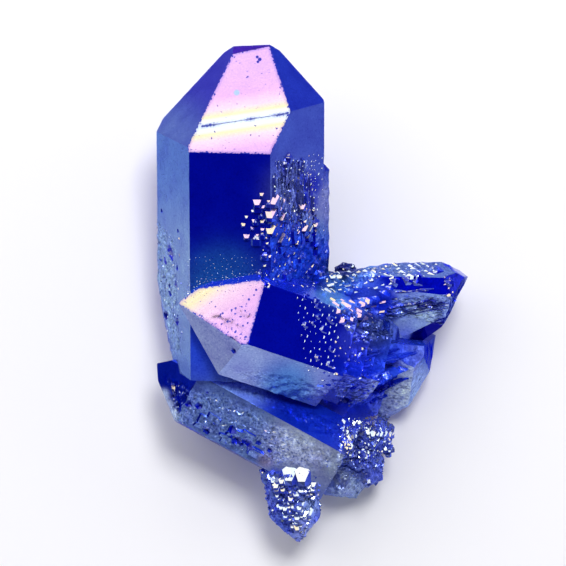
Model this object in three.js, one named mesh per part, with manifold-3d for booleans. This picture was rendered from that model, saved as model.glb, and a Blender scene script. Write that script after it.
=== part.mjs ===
// Aura quartz cluster: quartz points of several sizes grown together as one solid piece.
// Millimetres, +Z up. The cluster lies on its broken back, which is flat where it rests.
// The origin is at the bottom centre of the whole piece.
import * as THREE from 'three';
import { ConvexGeometry } from 'three/addons/geometries/ConvexGeometry.js';
import { mergeVertices } from 'three/addons/utils/BufferGeometryUtils.js';
import Module from 'manifold-3d';

// ---------------------------------------------------------------- driving dimensions
const SIDES = 6;            // quartz grows as a six-sided prism with a six-sided termination
const RHOMB_ANGLE = 38.2;   // how far a termination face leans from its prism face's normal, degrees
const SHARED_CORNER = 1e-4; // corners closer than this are one corner
const ABOVE_ALL = 60;       // a height above the whole piece
const SUNK = 0.8;           // how deep a small growth is rooted in the face that carries it
const PARALLEL = 1e-6;      // planes whose system is flatter than this don't meet in a point
const LUMP_SWELL = [0.88, 1.12]; // how far a lump's corner lies in or out of its egg
const DRUSE_LEAN = 1;       // how far druse points lean apart, as a share of their length
const PIT_SIDES = 5;        // corners of an etch pit's rim

// Every point is given by its tip, the way its axis runs (azimuth clockwise from +Y, elevation
// above the table), its roll, how far each prism face stands from the axis, how far each
// termination face is pushed out from the ideal tip, and its length. Face 0 looks up. Chips are
// broken faces, each given by a point, the way it looks (azimuth) and its slope (0 lies level).
const MAIN = {
  tip: [-8.5, 34.9, 18], azimuth: 0, elevation: 14.5, roll: -6.1, length: 46,
  prism: [10.3, 8.4, 9.1, 10.4, 11.7, 11.6], caps: [-0.3, 1.4, 2.2, 0, 2.2, 1.1],
  chips: [
    { through: [-8.1, 33.95, 18.1], looks: -12, slope: 45 },
    { through: [-21.8, 1.5, 9], looks: 259, slope: 88 },
  ],
};
const SECOND = {
  tip: [-18.4, -0.9, 20], azimuth: -71, elevation: 19.1, roll: 10.7, length: 23.5,
  prism: [6.9, 7.8, 7.3, 7.3, 7, 6.8], caps: [-0.1, 1, 0, 0, 0.3, 0.2], chips: [],
};
const LOWER = {
  tip: [-22.2, -9.8, 9], azimuth: -61.3, elevation: 0, roll: -25, length: 29.6,
  prism: [4.6, 5.9, 6, 6, 6, 5.7], caps: [-0.3, 0.8, 0, 0, 0, 0.6],
  chips: [{ through: [-22.1, -11, 11], looks: -42, slope: 70 }],
};
const BOTTOM = {
  tip: [-2.1, -35.7, 4.8], azimuth: 172, elevation: -24, roll: 10, length: 13,
  prism: [2.7, 3, 3, 3.4, 3.6, 3.2], caps: [0, -0.5, -0.4, 0, 0, 0], chips: [],
};
const COMPANION = {
  ...MAIN, tip: [0.9, 18.9, 10.4], length: 17,
  prism: [1.3, 1.2, 1.4, 1.6, 2, 2], caps: [0, 0, 0.3, 0, 0, 0], chips: [],
};
// The second point stands on two broader steps of its own root, each a little lower.
const rootOf = (crystal, drop, length) => ({
  ...crystal, prism: crystal.prism.map((push) => push - drop), length, chips: [],
});
const POINTS = [
  MAIN, COMPANION, SECOND, rootOf(SECOND, 1.1, 26.5), rootOf(SECOND, 2.2, 30), LOWER, BOTTOM,
];

// Two stout broken pieces at the right, each given by its faces.
const SLAB = [
  { through: [15, 2.4, 14.6], looks: 0, slope: 58 },
  { through: [15, 4.4, 11], looks: -2, slope: 106 },
  { through: [1.7, 2.7, 9], looks: -10, slope: 88 },
  { through: [20.4, 3.3, 10], looks: 31, slope: 84 },
  { through: [15, 2.4, 14.6], looks: 200, slope: 7 },
  { through: [15, 0.2, 14.3], looks: 188, slope: 44 },
  { through: [18.5, -4.2, 9.9], looks: 173, slope: 58 },
  { through: [19, -3, 10], looks: 117.5, slope: 80 },
  { through: [19, -3, 9], looks: 117.5, slope: 118 },
  { through: [19.5, 2, 14], looks: 75, slope: 32 },
  { through: [0, 0, 4], looks: 270, slope: 90 },
  { through: [15, 0, 2.5], looks: 180, slope: 175 },
];
const SIDE = [
  { through: [12.4, -8, 12.2], looks: 62, slope: 28 },
  { through: [12, -6.4, 9], looks: 10, slope: 80 },
  { through: [12, -10.6, 11], looks: 193, slope: 50 },
  { through: [12, -15.2, 7], looks: 175, slope: 66 },
  { through: [16.2, -9, 8], looks: 92, slope: 78 },
  { through: [14.9, -13.4, 6], looks: 121, slope: 70 },
  { through: [14.9, -13.4, 4], looks: 121, slope: 112 },
  { through: [0, 0, 4], looks: 270, slope: 90 },
  { through: [12, -9, 0], looks: 180, slope: 178 },
];

// Irregular lumps of massive quartz: centre, half sizes, and how many corners each shows.
const LUMPS = [
  { centre: [-1.7, -9.4, 5], half: [14, 11, 7], corners: 40, seed: 3 },
  { centre: [5, -6, 5], half: [8.6, 8, 7.6], corners: 34, seed: 5 },
  { centre: [7.7, -20.2, 4.6], half: [4.1, 3.4, 5.3], corners: 17, seed: 11 },
  { centre: [7.2, -24.6, 3.6], half: [3.4, 3.4, 5.1], corners: 16, seed: 12 },
  { centre: [4, -25.6, 2.4], half: [5.1, 3.8, 5.5], corners: 20, seed: 7 },
  { centre: [4.7, 3.1, 5], half: [1.6, 1.7, 3], corners: 13, seed: 9 },
  { centre: [8.6, -5, 9.2], half: [2.9, 2.7, 4.8], corners: 18, seed: 14 },
  { centre: [6.4, -22.7, 4.6], half: [3.4, 3.2, 5.2], corners: 18, seed: 15 },
];

// The straight step where the first point's bright face stopped growing for a while: its ends in
// plan, its half width and its height.
const GROWTH_STEP = { from: [-15.2, 23], to: [-3.4, 24.8], width: 0.5, rise: 0.14 };

// Fields of straight striae, which are sharp little ridges side by side: the area in plan, how
// many, the way they run (azimuth), and the ranges of their length, half width and height.
const STRIAE = [
  {
    runs: 81, count: 13, length: [3, 8], width: [0.2, 0.45], rise: [0.12, 0.35], seed: 41,
    area: [[12.4, -3], [17.4, -2.3], [17.6, -0.8], [13.4, -1.2]],
  },
  {
    runs: 86, count: 3, length: [3, 6], width: [0.2, 0.4], rise: [0.1, 0.25], seed: 42,
    area: [[13.6, 0], [17.8, 0.3], [17.8, 0.8], [13.8, 0.6]],
  },
  {
    runs: 76, count: 8, length: [2, 6], width: [0.2, 0.5], rise: [0.1, 0.3], seed: 43,
    area: [[8, -8], [12.4, -7.6], [12.6, -10], [8, -10.2]],
  },
  {
    runs: 64, count: 15, length: [2.5, 6.5], width: [0.2, 0.5], rise: [0.15, 0.4], seed: 44,
    area: [[7, -11.6], [12, -11.2], [11.6, -14], [8, -15.4]],
  },
];

// Fields of small points: the area in plan, how many, their half width, how far they stand out
// of the face, how many half widths long they are, and the crystal whose axes they share. Druse
// has no such crystal: its points stand out of the surface on every side.
const BUDS = [
  {
    like: MAIN, count: 26, width: [0.5, 1.2], rise: [0.25, 0.7], run: 5, seed: 21,
    area: [[-5.2, 18.9], [-0.6, 19.2], [0.4, 10.4], [-4.2, 8.4], [-5.4, 13]],
  },
  {
    like: MAIN, count: 22, width: [0.35, 0.9], rise: [0.2, 0.6], run: 2.4, seed: 27,
    area: [[-5, 13.4], [-1.2, 12.4], [2.2, 2.5], [-7.4, 3], [-9, 10.2], [-7, 14]],
  },
  {
    like: SECOND, count: 14, width: [0.35, 0.8], rise: [0.12, 0.35], run: 2.2, seed: 22,
    area: [[-2.4, 1.4], [3.4, 0.4], [2.6, -9.5], [-0.6, -10]],
  },
  {
    like: SECOND, count: 26, width: [0.5, 1.1], rise: [0.25, 0.7], run: 2.2, seed: 23,
    area: [[1.8, 2.6], [8, 3.8], [19, 3.4], [18.8, 1.6], [11, 1.8], [8, -4.6], [4.4, -4.4]],
  },
  {
    like: LOWER, count: 14, width: [0.5, 1.1], rise: [0.12, 0.35], run: 3, seed: 24,
    area: [[-19, -14.6], [-10, -19.4], [-3, -24], [-9.6, -21.8], [-18.8, -17.4]],
  },
  {
    like: BOTTOM, count: 22, width: [0.4, 0.8], rise: [0.25, 0.6], run: 4, seed: 25,
    area: [[-6.8, -26], [0, -26.6], [0.6, -32], [-2, -34], [-5.2, -31]],
  },
  {
    like: null, count: 34, width: [0.4, 0.8], rise: [0.5, 1], run: 0, seed: 26,
    area: [[4.4, -18.4], [11.2, -17.6], [11, -21], [9.6, -27], [6.6, -27], [4.4, -22]],
  },
];

// Etch pits: the area in plan, how many, their half width and depth.
const PITS = [
  {
    count: 12, size: [0.3, 0.8], depth: 0.45, seed: 31,
    area: [[-22, 12], [-18.6, 12], [-18.4, -4], [-21, -6]],
  },
  {
    count: 10, size: [0.3, 0.7], depth: 0.4, seed: 32,
    area: [[-19, -13.8], [-2, -22], [-7.6, -23.4], [-18.8, -17.6]],
  },
  {
    count: 1, size: [0.5, 0.5], depth: 0.5, seed: 33,
    area: [[-11.3, -7.3], [-10.6, -7.3], [-10.6, -7.8], [-11.3, -7.8]],
  },
];

// ---------------------------------------------------------------- crystal habit
const radians = THREE.MathUtils.degToRad;
const UP = new THREE.Vector3(0, 0, 1);

// A direction from its azimuth (clockwise from +Y) and its slope from straight up.
function direction(azimuth, slope) {
  return new THREE.Vector3(
    Math.sin(radians(azimuth)) * Math.sin(radians(slope)),
    Math.cos(radians(azimuth)) * Math.sin(radians(slope)),
    Math.cos(radians(slope)),
  );
}

// The crystal's own axes: along is its growth axis, front is the normal of prism face 0.
function axesOf({ azimuth, elevation, roll }) {
  const along = direction(azimuth, 90 - elevation);
  const front = UP.clone().addScaledVector(along, -along.z).normalize();
  front.applyAxisAngle(along, radians(roll));
  return { along, front, side: along.clone().cross(front) };
}

const planeOf = (normal, point) => new THREE.Plane().setFromNormalAndCoplanarPoint(normal, point);
const brokenFace = ({ through, looks, slope }) => planeOf(
  direction(looks, slope),
  new THREE.Vector3(...through),
);

// All faces of a crystal as planes that point outwards.
function facesOf(crystal) {
  const { along, front, side } = axesOf(crystal);
  const tip = new THREE.Vector3(...crystal.tip);
  const face = (normal, push) => planeOf(normal, tip.clone().addScaledVector(normal, push));
  const lean = radians(RHOMB_ANGLE);
  const faces = [face(along.clone().negate(), crystal.length), ...crystal.chips.map(brokenFace)];
  for (let k = 0; k < SIDES; k += 1) {
    const turn = (k / SIDES) * Math.PI * 2;
    const prism = front.clone().multiplyScalar(Math.cos(turn)).addScaledVector(side, Math.sin(turn));
    const cap = prism.clone().multiplyScalar(Math.cos(lean)).addScaledVector(along, Math.sin(lean));
    faces.push(face(prism, crystal.prism[k]), face(cap, crystal.caps[k]));
  }
  return faces;
}

// The corner where three planes meet, or null where they don't meet in one point.
function cornerOf(a, b, c) {
  const system = new THREE.Matrix3().set(
    a.normal.x, a.normal.y, a.normal.z,
    b.normal.x, b.normal.y, b.normal.z,
    c.normal.x, c.normal.y, c.normal.z,
  );
  if (Math.abs(system.determinant()) < PARALLEL) return null;
  return new THREE.Vector3(-a.constant, -b.constant, -c.constant).applyMatrix3(system.invert());
}

// The corners of the solid that lies behind all of the planes.
function cornersOf(faces) {
  const corners = [];
  const isNew = (point) => corners.every((other) => other.distanceTo(point) > SHARED_CORNER);
  for (let i = 0; i < faces.length; i += 1) {
    for (let j = i + 1; j < faces.length; j += 1) {
      for (let k = j + 1; k < faces.length; k += 1) {
        const point = cornerOf(faces[i], faces[j], faces[k]);
        const inside = point && faces.every((face) => face.distanceToPoint(point) < SHARED_CORNER);
        if (inside && isNew(point)) corners.push(point);
      }
    }
  }
  return corners;
}

// ---------------------------------------------------------------- solids
const wasm = await Module();
wasm.setup();

function solidOf(geometry) {
  const bare = geometry.clone();
  bare.deleteAttribute('normal');
  bare.deleteAttribute('uv');
  const merged = mergeVertices(bare, SHARED_CORNER);
  return new wasm.Manifold(new wasm.Mesh({
    numProp: 3,
    vertProperties: Float32Array.from(merged.attributes.position.array),
    triVerts: Uint32Array.from(merged.index.array),
  }));
}

function geometryOf(solid) {
  const mesh = solid.getMesh();
  const geometry = new THREE.BufferGeometry();
  geometry.setAttribute('position', new THREE.BufferAttribute(mesh.vertProperties, mesh.numProp));
  geometry.setIndex(new THREE.BufferAttribute(mesh.triVerts, 1));
  return geometry;
}

const join = (solids) => solids.reduce((whole, solid) => whole.add(solid));
const hull = (points) => solidOf(new ConvexGeometry(points));
const crystalSolid = (crystal) => hull(cornersOf(facesOf(crystal)));
const chunkSolid = (faces) => hull(cornersOf(faces.map(brokenFace)));

// A repeatable source of numbers from 0 to 1.
function seeded(seed) {
  let state = seed * 7919 + 17;
  return () => {
    state = (state * 1664525 + 1013904223) % 4294967296;
    return state / 4294967296;
  };
}
const between = ([low, high], share) => low + (high - low) * share;

// A lump of massive quartz: corners spread evenly over an egg, each pushed in or out a little.
function lumpSolid({ centre, half, corners, seed }) {
  const random = seeded(seed);
  const golden = Math.PI * (3 - Math.sqrt(5));
  const points = [];
  for (let i = 0; i < corners; i += 1) {
    const height = 1 - (2 * (i + 0.5)) / corners;
    const ring = Math.sqrt(1 - height * height);
    const swell = between(LUMP_SWELL, random());
    points.push(new THREE.Vector3(
      centre[0] + half[0] * ring * Math.cos(golden * i) * swell,
      centre[1] + half[1] * ring * Math.sin(golden * i) * swell,
      centre[2] + half[2] * height * swell,
    ));
  }
  return hull(points);
}

const body = join([
  ...POINTS.map(crystalSolid),
  ...[SLAB, SIDE].map(chunkSolid),
  ...LUMPS.map(lumpSolid),
]);

// ---------------------------------------------------------------- small growths on the surface
const bodyMesh = new THREE.Mesh(
  geometryOf(body).toNonIndexed(),
  new THREE.MeshBasicMaterial({ side: THREE.DoubleSide }),
);

// The point of the surface that is seen from straight above, and the way it looks there.
function surfaceAt([x, y]) {
  const ray = new THREE.Raycaster(new THREE.Vector3(x, y, ABOVE_ALL), UP.clone().negate());
  const hit = ray.intersectObject(bodyMesh)[0];
  return hit ? { point: hit.point, normal: hit.face.normal.clone() } : null;
}

// Whether a place in plan is inside an outline.
function isInside([x, y], outline) {
  let inside = false;
  outline.forEach(([x1, y1], i) => {
    const [x2, y2] = outline[(i + 1) % outline.length];
    if ((y1 > y) !== (y2 > y) && x < x1 + ((y - y1) * (x2 - x1)) / (y2 - y1)) inside = !inside;
  });
  return inside;
}

// Places on the surface scattered over an outline in plan.
function scatter({ area, count, seed }) {
  const random = seeded(seed);
  const spanOf = (axis) => [Math.min(...area.map((p) => p[axis])), Math.max(...area.map((p) => p[axis]))];
  const places = [];
  while (places.length < count) {
    const plan = [between(spanOf(0), random()), between(spanOf(1), random())];
    const surface = isInside(plan, area) ? surfaceAt(plan) : null;
    if (surface) places.push({ ...surface, random });
  }
  return places;
}

// A straight ridge with a sharp crest, rooted in the surface at both ends.
function ridgeSolid({ from, to, width, rise }) {
  const ends = [surfaceAt(from), surfaceAt(to)];
  const run = ends[1].point.clone().sub(ends[0].point).normalize();
  const points = ends.flatMap(({ point, normal }) => {
    const across = run.clone().cross(normal).normalize();
    const out = across.clone().cross(run).normalize();
    return [
      point.clone().addScaledVector(out, rise),
      point.clone().addScaledVector(out, -SUNK).addScaledVector(across, width),
      point.clone().addScaledVector(out, -SUNK).addScaledVector(across, -width),
    ];
  });
  return hull(points);
}

// A small point that shares its host's axes: of its prism faces the one nearest to the surface's
// own direction stands out by the rise.
function budSolid(place, { like, width, rise, run }) {
  const { along, front, side } = axesOf(like);
  const half = between(width, place.random());
  const stand = between(rise, place.random());
  const turns = Array.from({ length: SIDES }, (_, k) => (k / SIDES) * Math.PI * 2);
  const normals = turns.map((turn) => front.clone().multiplyScalar(Math.cos(turn))
    .addScaledVector(side, Math.sin(turn)));
  normals.sort((a, b) => b.dot(place.normal) - a.dot(place.normal));
  const tip = place.point.clone().addScaledVector(normals[0], stand - half).addScaledVector(along, half);
  return crystalSolid({
    ...like, tip: tip.toArray(), length: half * run, chips: [],
    prism: Array(SIDES).fill(half), caps: Array(SIDES).fill(0),
  });
}

// The two ends of one of the striae, in plan, about its middle.
function striaOf({ point, random }, { runs, length, width, rise }) {
  const half = direction(runs, 90).multiplyScalar(between(length, random()) / 2);
  return {
    from: [point.x - half.x, point.y - half.y],
    to: [point.x + half.x, point.y + half.y],
    width: between(width, random()),
    rise: between(rise, random()),
  };
}

// A druse point: it stands out of the surface, leaning a little to one side.
function druseSolid(place, { width, rise }) {
  const half = between(width, place.random());
  const stand = between(rise, place.random());
  const lean = new THREE.Vector3(place.random() - 0.5, place.random() - 0.5, 0)
    .multiplyScalar(DRUSE_LEAN);
  const along = place.normal.clone().add(lean).normalize();
  return crystalSolid({
    tip: place.point.clone().addScaledVector(along, stand).toArray(),
    azimuth: THREE.MathUtils.radToDeg(Math.atan2(along.x, along.y)),
    elevation: THREE.MathUtils.radToDeg(Math.asin(along.z)),
    roll: (360 / SIDES) * place.random(),
    length: stand + SUNK, chips: [],
    prism: Array(SIDES).fill(half), caps: Array(SIDES).fill(0),
  });
}

// The hollow that an etch pit leaves: a blunt point that reaches into the surface. Its rim is
// drawn as far above the surface as its floor lies below, where it is twice as wide.
function pitSolid({ point, normal, random }, { size, depth }) {
  const half = between(size, random());
  const across = new THREE.Vector3(normal.z, normal.x, normal.y).cross(normal).normalize();
  const floor = point.clone().addScaledVector(normal, -depth);
  const start = random() * Math.PI;
  const rim = Array.from({ length: PIT_SIDES }, (_, k) => {
    const turn = start + (k / PIT_SIDES) * Math.PI * 2;
    const out = across.clone().applyAxisAngle(normal, turn).multiplyScalar(2 * half);
    return point.clone().addScaledVector(normal, depth).add(out);
  });
  return hull([floor, ...rim]);
}

const growths = [
  ridgeSolid(GROWTH_STEP),
  ...STRIAE.flatMap((field) => scatter(field).map((place) => ridgeSolid(striaOf(place, field)))),
  ...BUDS.flatMap((field) => scatter(field).map((place) => (
    field.like ? budSolid(place, field) : druseSolid(place, field)))),
];
const pits = PITS.flatMap((field) => scatter(field).map((place) => pitSolid(place, field)));

// ---------------------------------------------------------------- the flat it rests on
const TABLE = 200; // wider than the whole piece
const below = solidOf(new THREE.BoxGeometry(TABLE, TABLE, TABLE).translate(0, 0, -TABLE / 2));
const carved = pits.reduce((solid, pit) => solid.subtract(pit), join([body, ...growths]));
// The crystals close up every small hollow between them, so only the outer skin is kept.
const skins = carved.subtract(below).decompose();
const whole = skins.reduce((best, skin) => (skin.volume() > best.volume() ? skin : best));

const clusterGeometry = geometryOf(whole);
clusterGeometry.computeBoundingBox();
const middle = clusterGeometry.boundingBox.getCenter(new THREE.Vector3());

const cluster = new THREE.Mesh(
  clusterGeometry,
  new THREE.MeshStandardMaterial({ color: 0x1428b4, roughness: 0.18, metalness: 0.4 }),
);
cluster.name = 'quartz_cluster';
cluster.position.set(-middle.x, -middle.y, 0);

const model = new THREE.Group();
model.add(cluster);
export default model;
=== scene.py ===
"""Looks of an aura quartz cluster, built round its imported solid.

The cluster is one piece of quartz points that grew together, coated with a thin deep-blue
metallic film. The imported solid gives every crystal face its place. This script lays a fine skin
over those faces, with growth steps, striations, pits and worn edges, sets fields of small
crystals on it, and dresses both in the film. Faces are worked out in millimetres.
"""

import logging
import math
from dataclasses import dataclass, field
from enum import Enum
from itertools import combinations

import bmesh
import bpy
import numpy as np
from mathutils import Euler, Matrix, Vector, noise
from mathutils.geometry import delaunay_2d_cdt

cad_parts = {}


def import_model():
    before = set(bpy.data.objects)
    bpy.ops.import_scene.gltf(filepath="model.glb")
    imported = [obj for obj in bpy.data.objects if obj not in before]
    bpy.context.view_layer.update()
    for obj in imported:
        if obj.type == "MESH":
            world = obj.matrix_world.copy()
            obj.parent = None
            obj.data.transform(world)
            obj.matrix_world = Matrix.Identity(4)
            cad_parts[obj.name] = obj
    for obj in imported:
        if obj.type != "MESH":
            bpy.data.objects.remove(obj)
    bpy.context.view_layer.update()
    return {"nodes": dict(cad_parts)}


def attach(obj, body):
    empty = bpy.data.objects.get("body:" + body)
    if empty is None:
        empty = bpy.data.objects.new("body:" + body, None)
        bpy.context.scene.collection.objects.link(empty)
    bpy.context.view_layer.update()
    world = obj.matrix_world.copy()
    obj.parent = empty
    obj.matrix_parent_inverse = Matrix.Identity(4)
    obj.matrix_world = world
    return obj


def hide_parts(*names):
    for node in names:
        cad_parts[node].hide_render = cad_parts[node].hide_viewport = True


log = logging.getLogger("quartz")

MM = 0.001
NODE = "quartz_cluster"
UP = np.array([0.0, 0.0, 1.0])
TINY = 1e-12        # keeps a division from failing
SIXTH = 60.0        # turn from one face of a quartz prism to the next, degrees
CREASE = 17.0       # fine faces that meet at more than this many degrees show a sharp edge
FOOT = 1.2          # small crystals grow no nearer to the table than this, millimetres
INSIDE = 2.0        # how far from an edge counts as well inside a face, millimetres
RISING = 0.05       # least upward share of the normal of a face that carries a texture
UNDERSIDE = -0.3    # a face whose normal rises less than this looks down
SAME_FACE = 0.9995  # least agreement of a normal with an ideal face's

Plan = tuple[tuple[float, float], ...]
Colour = tuple[float, float, float]
Socket = bpy.types.NodeSocket


def smoothstep(low: float, high: float, value: np.ndarray) -> np.ndarray:
    """Give a share for each value, rising smoothly from 0 at low to 1 at high."""
    share = np.clip((value - low) / (high - low), 0.0, 1.0)
    return share * share * (3.0 - 2.0 * share)


def unit_rows(rows: np.ndarray) -> np.ndarray:
    """Scale each row to length 1, and leave a row without length as it is."""
    return rows / np.maximum(np.linalg.norm(rows, axis=1, keepdims=True), TINY)


def in_scene(name: str, data: bpy.types.ID) -> bpy.types.Object:
    """Make an object of some data and put it in the scene.

    Args:
        name: the object's name.
        data: its mesh, light or camera.

    Returns:
        The object.
    """
    made = bpy.data.objects.new(name, data)
    bpy.context.scene.collection.objects.link(made)
    return made


def mesh_object(name: str, points: np.ndarray, triangles: np.ndarray) -> bpy.types.Object:
    """Make an object of triangles and put it in the scene.

    Args:
        name: the object's name.
        points: its points, millimetres.
        triangles: its triangles.

    Returns:
        The object.
    """
    mesh = bpy.data.meshes.new(name)
    mesh.from_pydata((points * MM).tolist(), [], triangles.tolist())
    mesh.validate()
    return in_scene(name, mesh)


def read_all(items: bpy.types.bpy_prop_collection, name: str, kind: type,
             width: int) -> np.ndarray:
    """Read one property of all the items of a mesh.

    Args:
        items: the mesh's vertices, corners or faces.
        name: the property.
        kind: its type.
        width: how many numbers it holds.

    Returns:
        The numbers, one item a row.
    """
    values = np.zeros(len(items) * width, dtype=kind)
    items.foreach_get(name, values)
    return values.reshape(-1, width)


def inside_segments(points: np.ndarray, starts: np.ndarray, ends: np.ndarray) -> np.ndarray:
    """Tell which points lie inside the loops that the segments make, holes left out.

    Args:
        points: places in the plane, one a row.
        starts: where each segment starts.
        ends: where each segment ends.

    Returns:
        True for each point inside.
    """
    x, y = points[:, 0, None], points[:, 1, None]
    crosses = (starts[:, 1] > y) != (ends[:, 1] > y)
    rise = ends[:, 1] - starts[:, 1]
    rise = np.where(np.abs(rise) < TINY, TINY, rise)
    at = starts[:, 0] + (y - starts[:, 1]) * (ends[:, 0] - starts[:, 0]) / rise
    return (crosses & (x < at)).sum(axis=1) % 2 == 1


def distance_to_segments(points: np.ndarray, starts: np.ndarray, ends: np.ndarray) -> np.ndarray:
    """Measure how far each point is from the nearest segment.

    Args:
        points: places in the plane, one a row.
        starts: where each segment starts.
        ends: where each segment ends.

    Returns:
        The distance for each point.
    """
    run = ends - starts
    length = np.maximum((run * run).sum(axis=1), TINY)
    away = points[:, None, :] - starts[None, :, :]
    share = np.clip((away * run).sum(axis=2) / length, 0.0, 1.0)
    gap = away - share[:, :, None] * run
    return np.sqrt((gap * gap).sum(axis=2).min(axis=1))


def inside_plan(points: np.ndarray, outline: Plan) -> np.ndarray:
    """Tell which points lie over the inside of an outline in plan."""
    corners = np.array(outline)
    return inside_segments(points[:, :2], corners, np.roll(corners, -1, axis=0))


@dataclass(frozen=True)
class Growth:
    """Which way a quartz point grew.

    Attributes:
        azimuth: the way its tip points, clockwise from +Y, degrees.
        elevation: how far its tip rises from the table, degrees.
        roll: how far its top face is turned about the axis, degrees.
        rhomb_angle: lean of a termination face from its prism face, degrees.
    """

    azimuth: float
    elevation: float
    roll: float
    rhomb_angle: float = 38.2

    def axes(self) -> np.ndarray:
        """Work out the crystal's own axes.

        Returns:
            Rows: the top prism face's normal, the side normal, and the growth axis.
        """
        turn, rise, roll = (math.radians(a) for a in (self.azimuth, self.elevation, self.roll))
        along = np.array([math.sin(turn) * math.cos(rise), math.cos(turn) * math.cos(rise),
                          math.sin(rise)])
        front = UP - along * along[2]
        front /= np.linalg.norm(front)
        front = front * math.cos(roll) + np.cross(along, front) * math.sin(roll)
        return np.array([front, np.cross(along, front), along])

    def prism(self, side: int) -> np.ndarray:
        """Give the outward normal of a prism face, counted round from the top one."""
        front, beside, _ = self.axes()
        turn = math.radians(SIXTH * side)
        return front * math.cos(turn) + beside * math.sin(turn)

    def rhomb(self, side: int) -> np.ndarray:
        """Give the outward normal of the termination face over a prism face."""
        lean = math.radians(self.rhomb_angle)
        return self.prism(side) * math.cos(lean) + self.axes()[2] * math.sin(lean)

    def heading(self) -> Euler:
        """Give the turn that brings an upright crystal into this growth's axes."""
        return Matrix(self.axes().T.tolist()).to_euler()


def facing(azimuth: float, slope: float) -> np.ndarray:
    """Work out the way a broken face looks.

    Args:
        azimuth: the way it looks, clockwise from +Y, degrees.
        slope: how far it leans from level, degrees.

    Returns:
        Its outward normal.
    """
    turn, lean = math.radians(azimuth), math.radians(slope)
    return np.array([math.sin(turn) * math.sin(lean), math.cos(turn) * math.sin(lean),
                     math.cos(lean)])


MAIN = Growth(0.0, 14.5, -6.1)
SECOND = Growth(-71.0, 19.1, 10.7)
LOWER = Growth(-61.3, 0.0, -25.0)
BOTTOM = Growth(172.0, -24.0, 10.0)
SLAB_STRIAE = Growth(81.0, 0.0, 0.0)
SIDE_STRIAE = Growth(64.0, 0.0, 0.0)
POINTS = (MAIN, SECOND, LOWER, BOTTOM)


class Relief(Enum):
    """How growth has textured a stretch of surface."""

    STREAKED = "streaked"
    RUGGED = "rugged"


@dataclass(frozen=True)
class Zone:
    """A stretch of the cluster with a texture of its own.

    Attributes:
        outline: its corners in plan, millimetres.
        relief: its texture.
        height: how far the texture stands up and down, millimetres.
        grain: how wide its bumps are, millimetres.
        along: the growth axis that the texture follows.
        fade: how far in from its outline the texture reaches its full height, millimetres.
        contrast: how far its bumps are painted lighter and its hollows painted darker, as a
            painted highlight and painted shade.
        level: how rough the film is there, as a share.
    """

    outline: Plan
    relief: Relief
    height: float
    grain: float
    along: Growth = MAIN
    fade: float = 0.8
    contrast: float = 0.9
    level: float = 1.0

    def share(self, points: np.ndarray) -> np.ndarray:
        """Tell how strongly the texture shows at each point.

        Args:
            points: the points.

        Returns:
            1 well inside the zone, falling to 0 at its outline.
        """
        corners = np.array(self.outline)
        share = np.zeros(len(points))
        inside = inside_plan(points, self.outline)
        if inside.any():
            away = distance_to_segments(
                points[inside][:, :2], corners, np.roll(corners, -1, axis=0))
            share[inside] = smoothstep(0.0, self.fade, away)
        return share

    def bumps(self, points: np.ndarray) -> np.ndarray:
        """Give the texture's height at each point, about -1 to 1.

        Args:
            points: the points.

        Returns:
            The heights.
        """
        shape = streaks if self.relief is Relief.STREAKED else knobs
        axes = self.along.axes() / self.grain
        return np.array([shape(Vector(axes @ point)) for point in points])


def streaks(own: Vector) -> float:
    """Give the height of long flat steps that run along the growth axis.

    Args:
        own: the place in the crystal's own axes, in grains.

    Returns:
        The height, about -1 to 1.
    """
    longer, finer, steps, stepped = 5.5, 2.3, 2.5, 0.7
    own.z /= longer
    bump = noise.noise(own) + 0.5 * noise.noise(own * finer)
    return stepped * round(bump * steps) / steps + 0.3 * bump


def knobs(own: Vector) -> float:
    """Give the height of knobs with flat sides that lean every way.

    Args:
        own: the place in the crystal's own axes, in grains.

    Returns:
        The height, about -1 to 1.
    """
    slope, unlike, sunk = 1.7, 7.3, 0.2
    _, middles = noise.voronoi(own)
    sides = [slope * noise.noise_vector(unlike * middle).dot(own - middle)
             for middle in middles[:3]]
    return max(sides) - sunk


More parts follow.
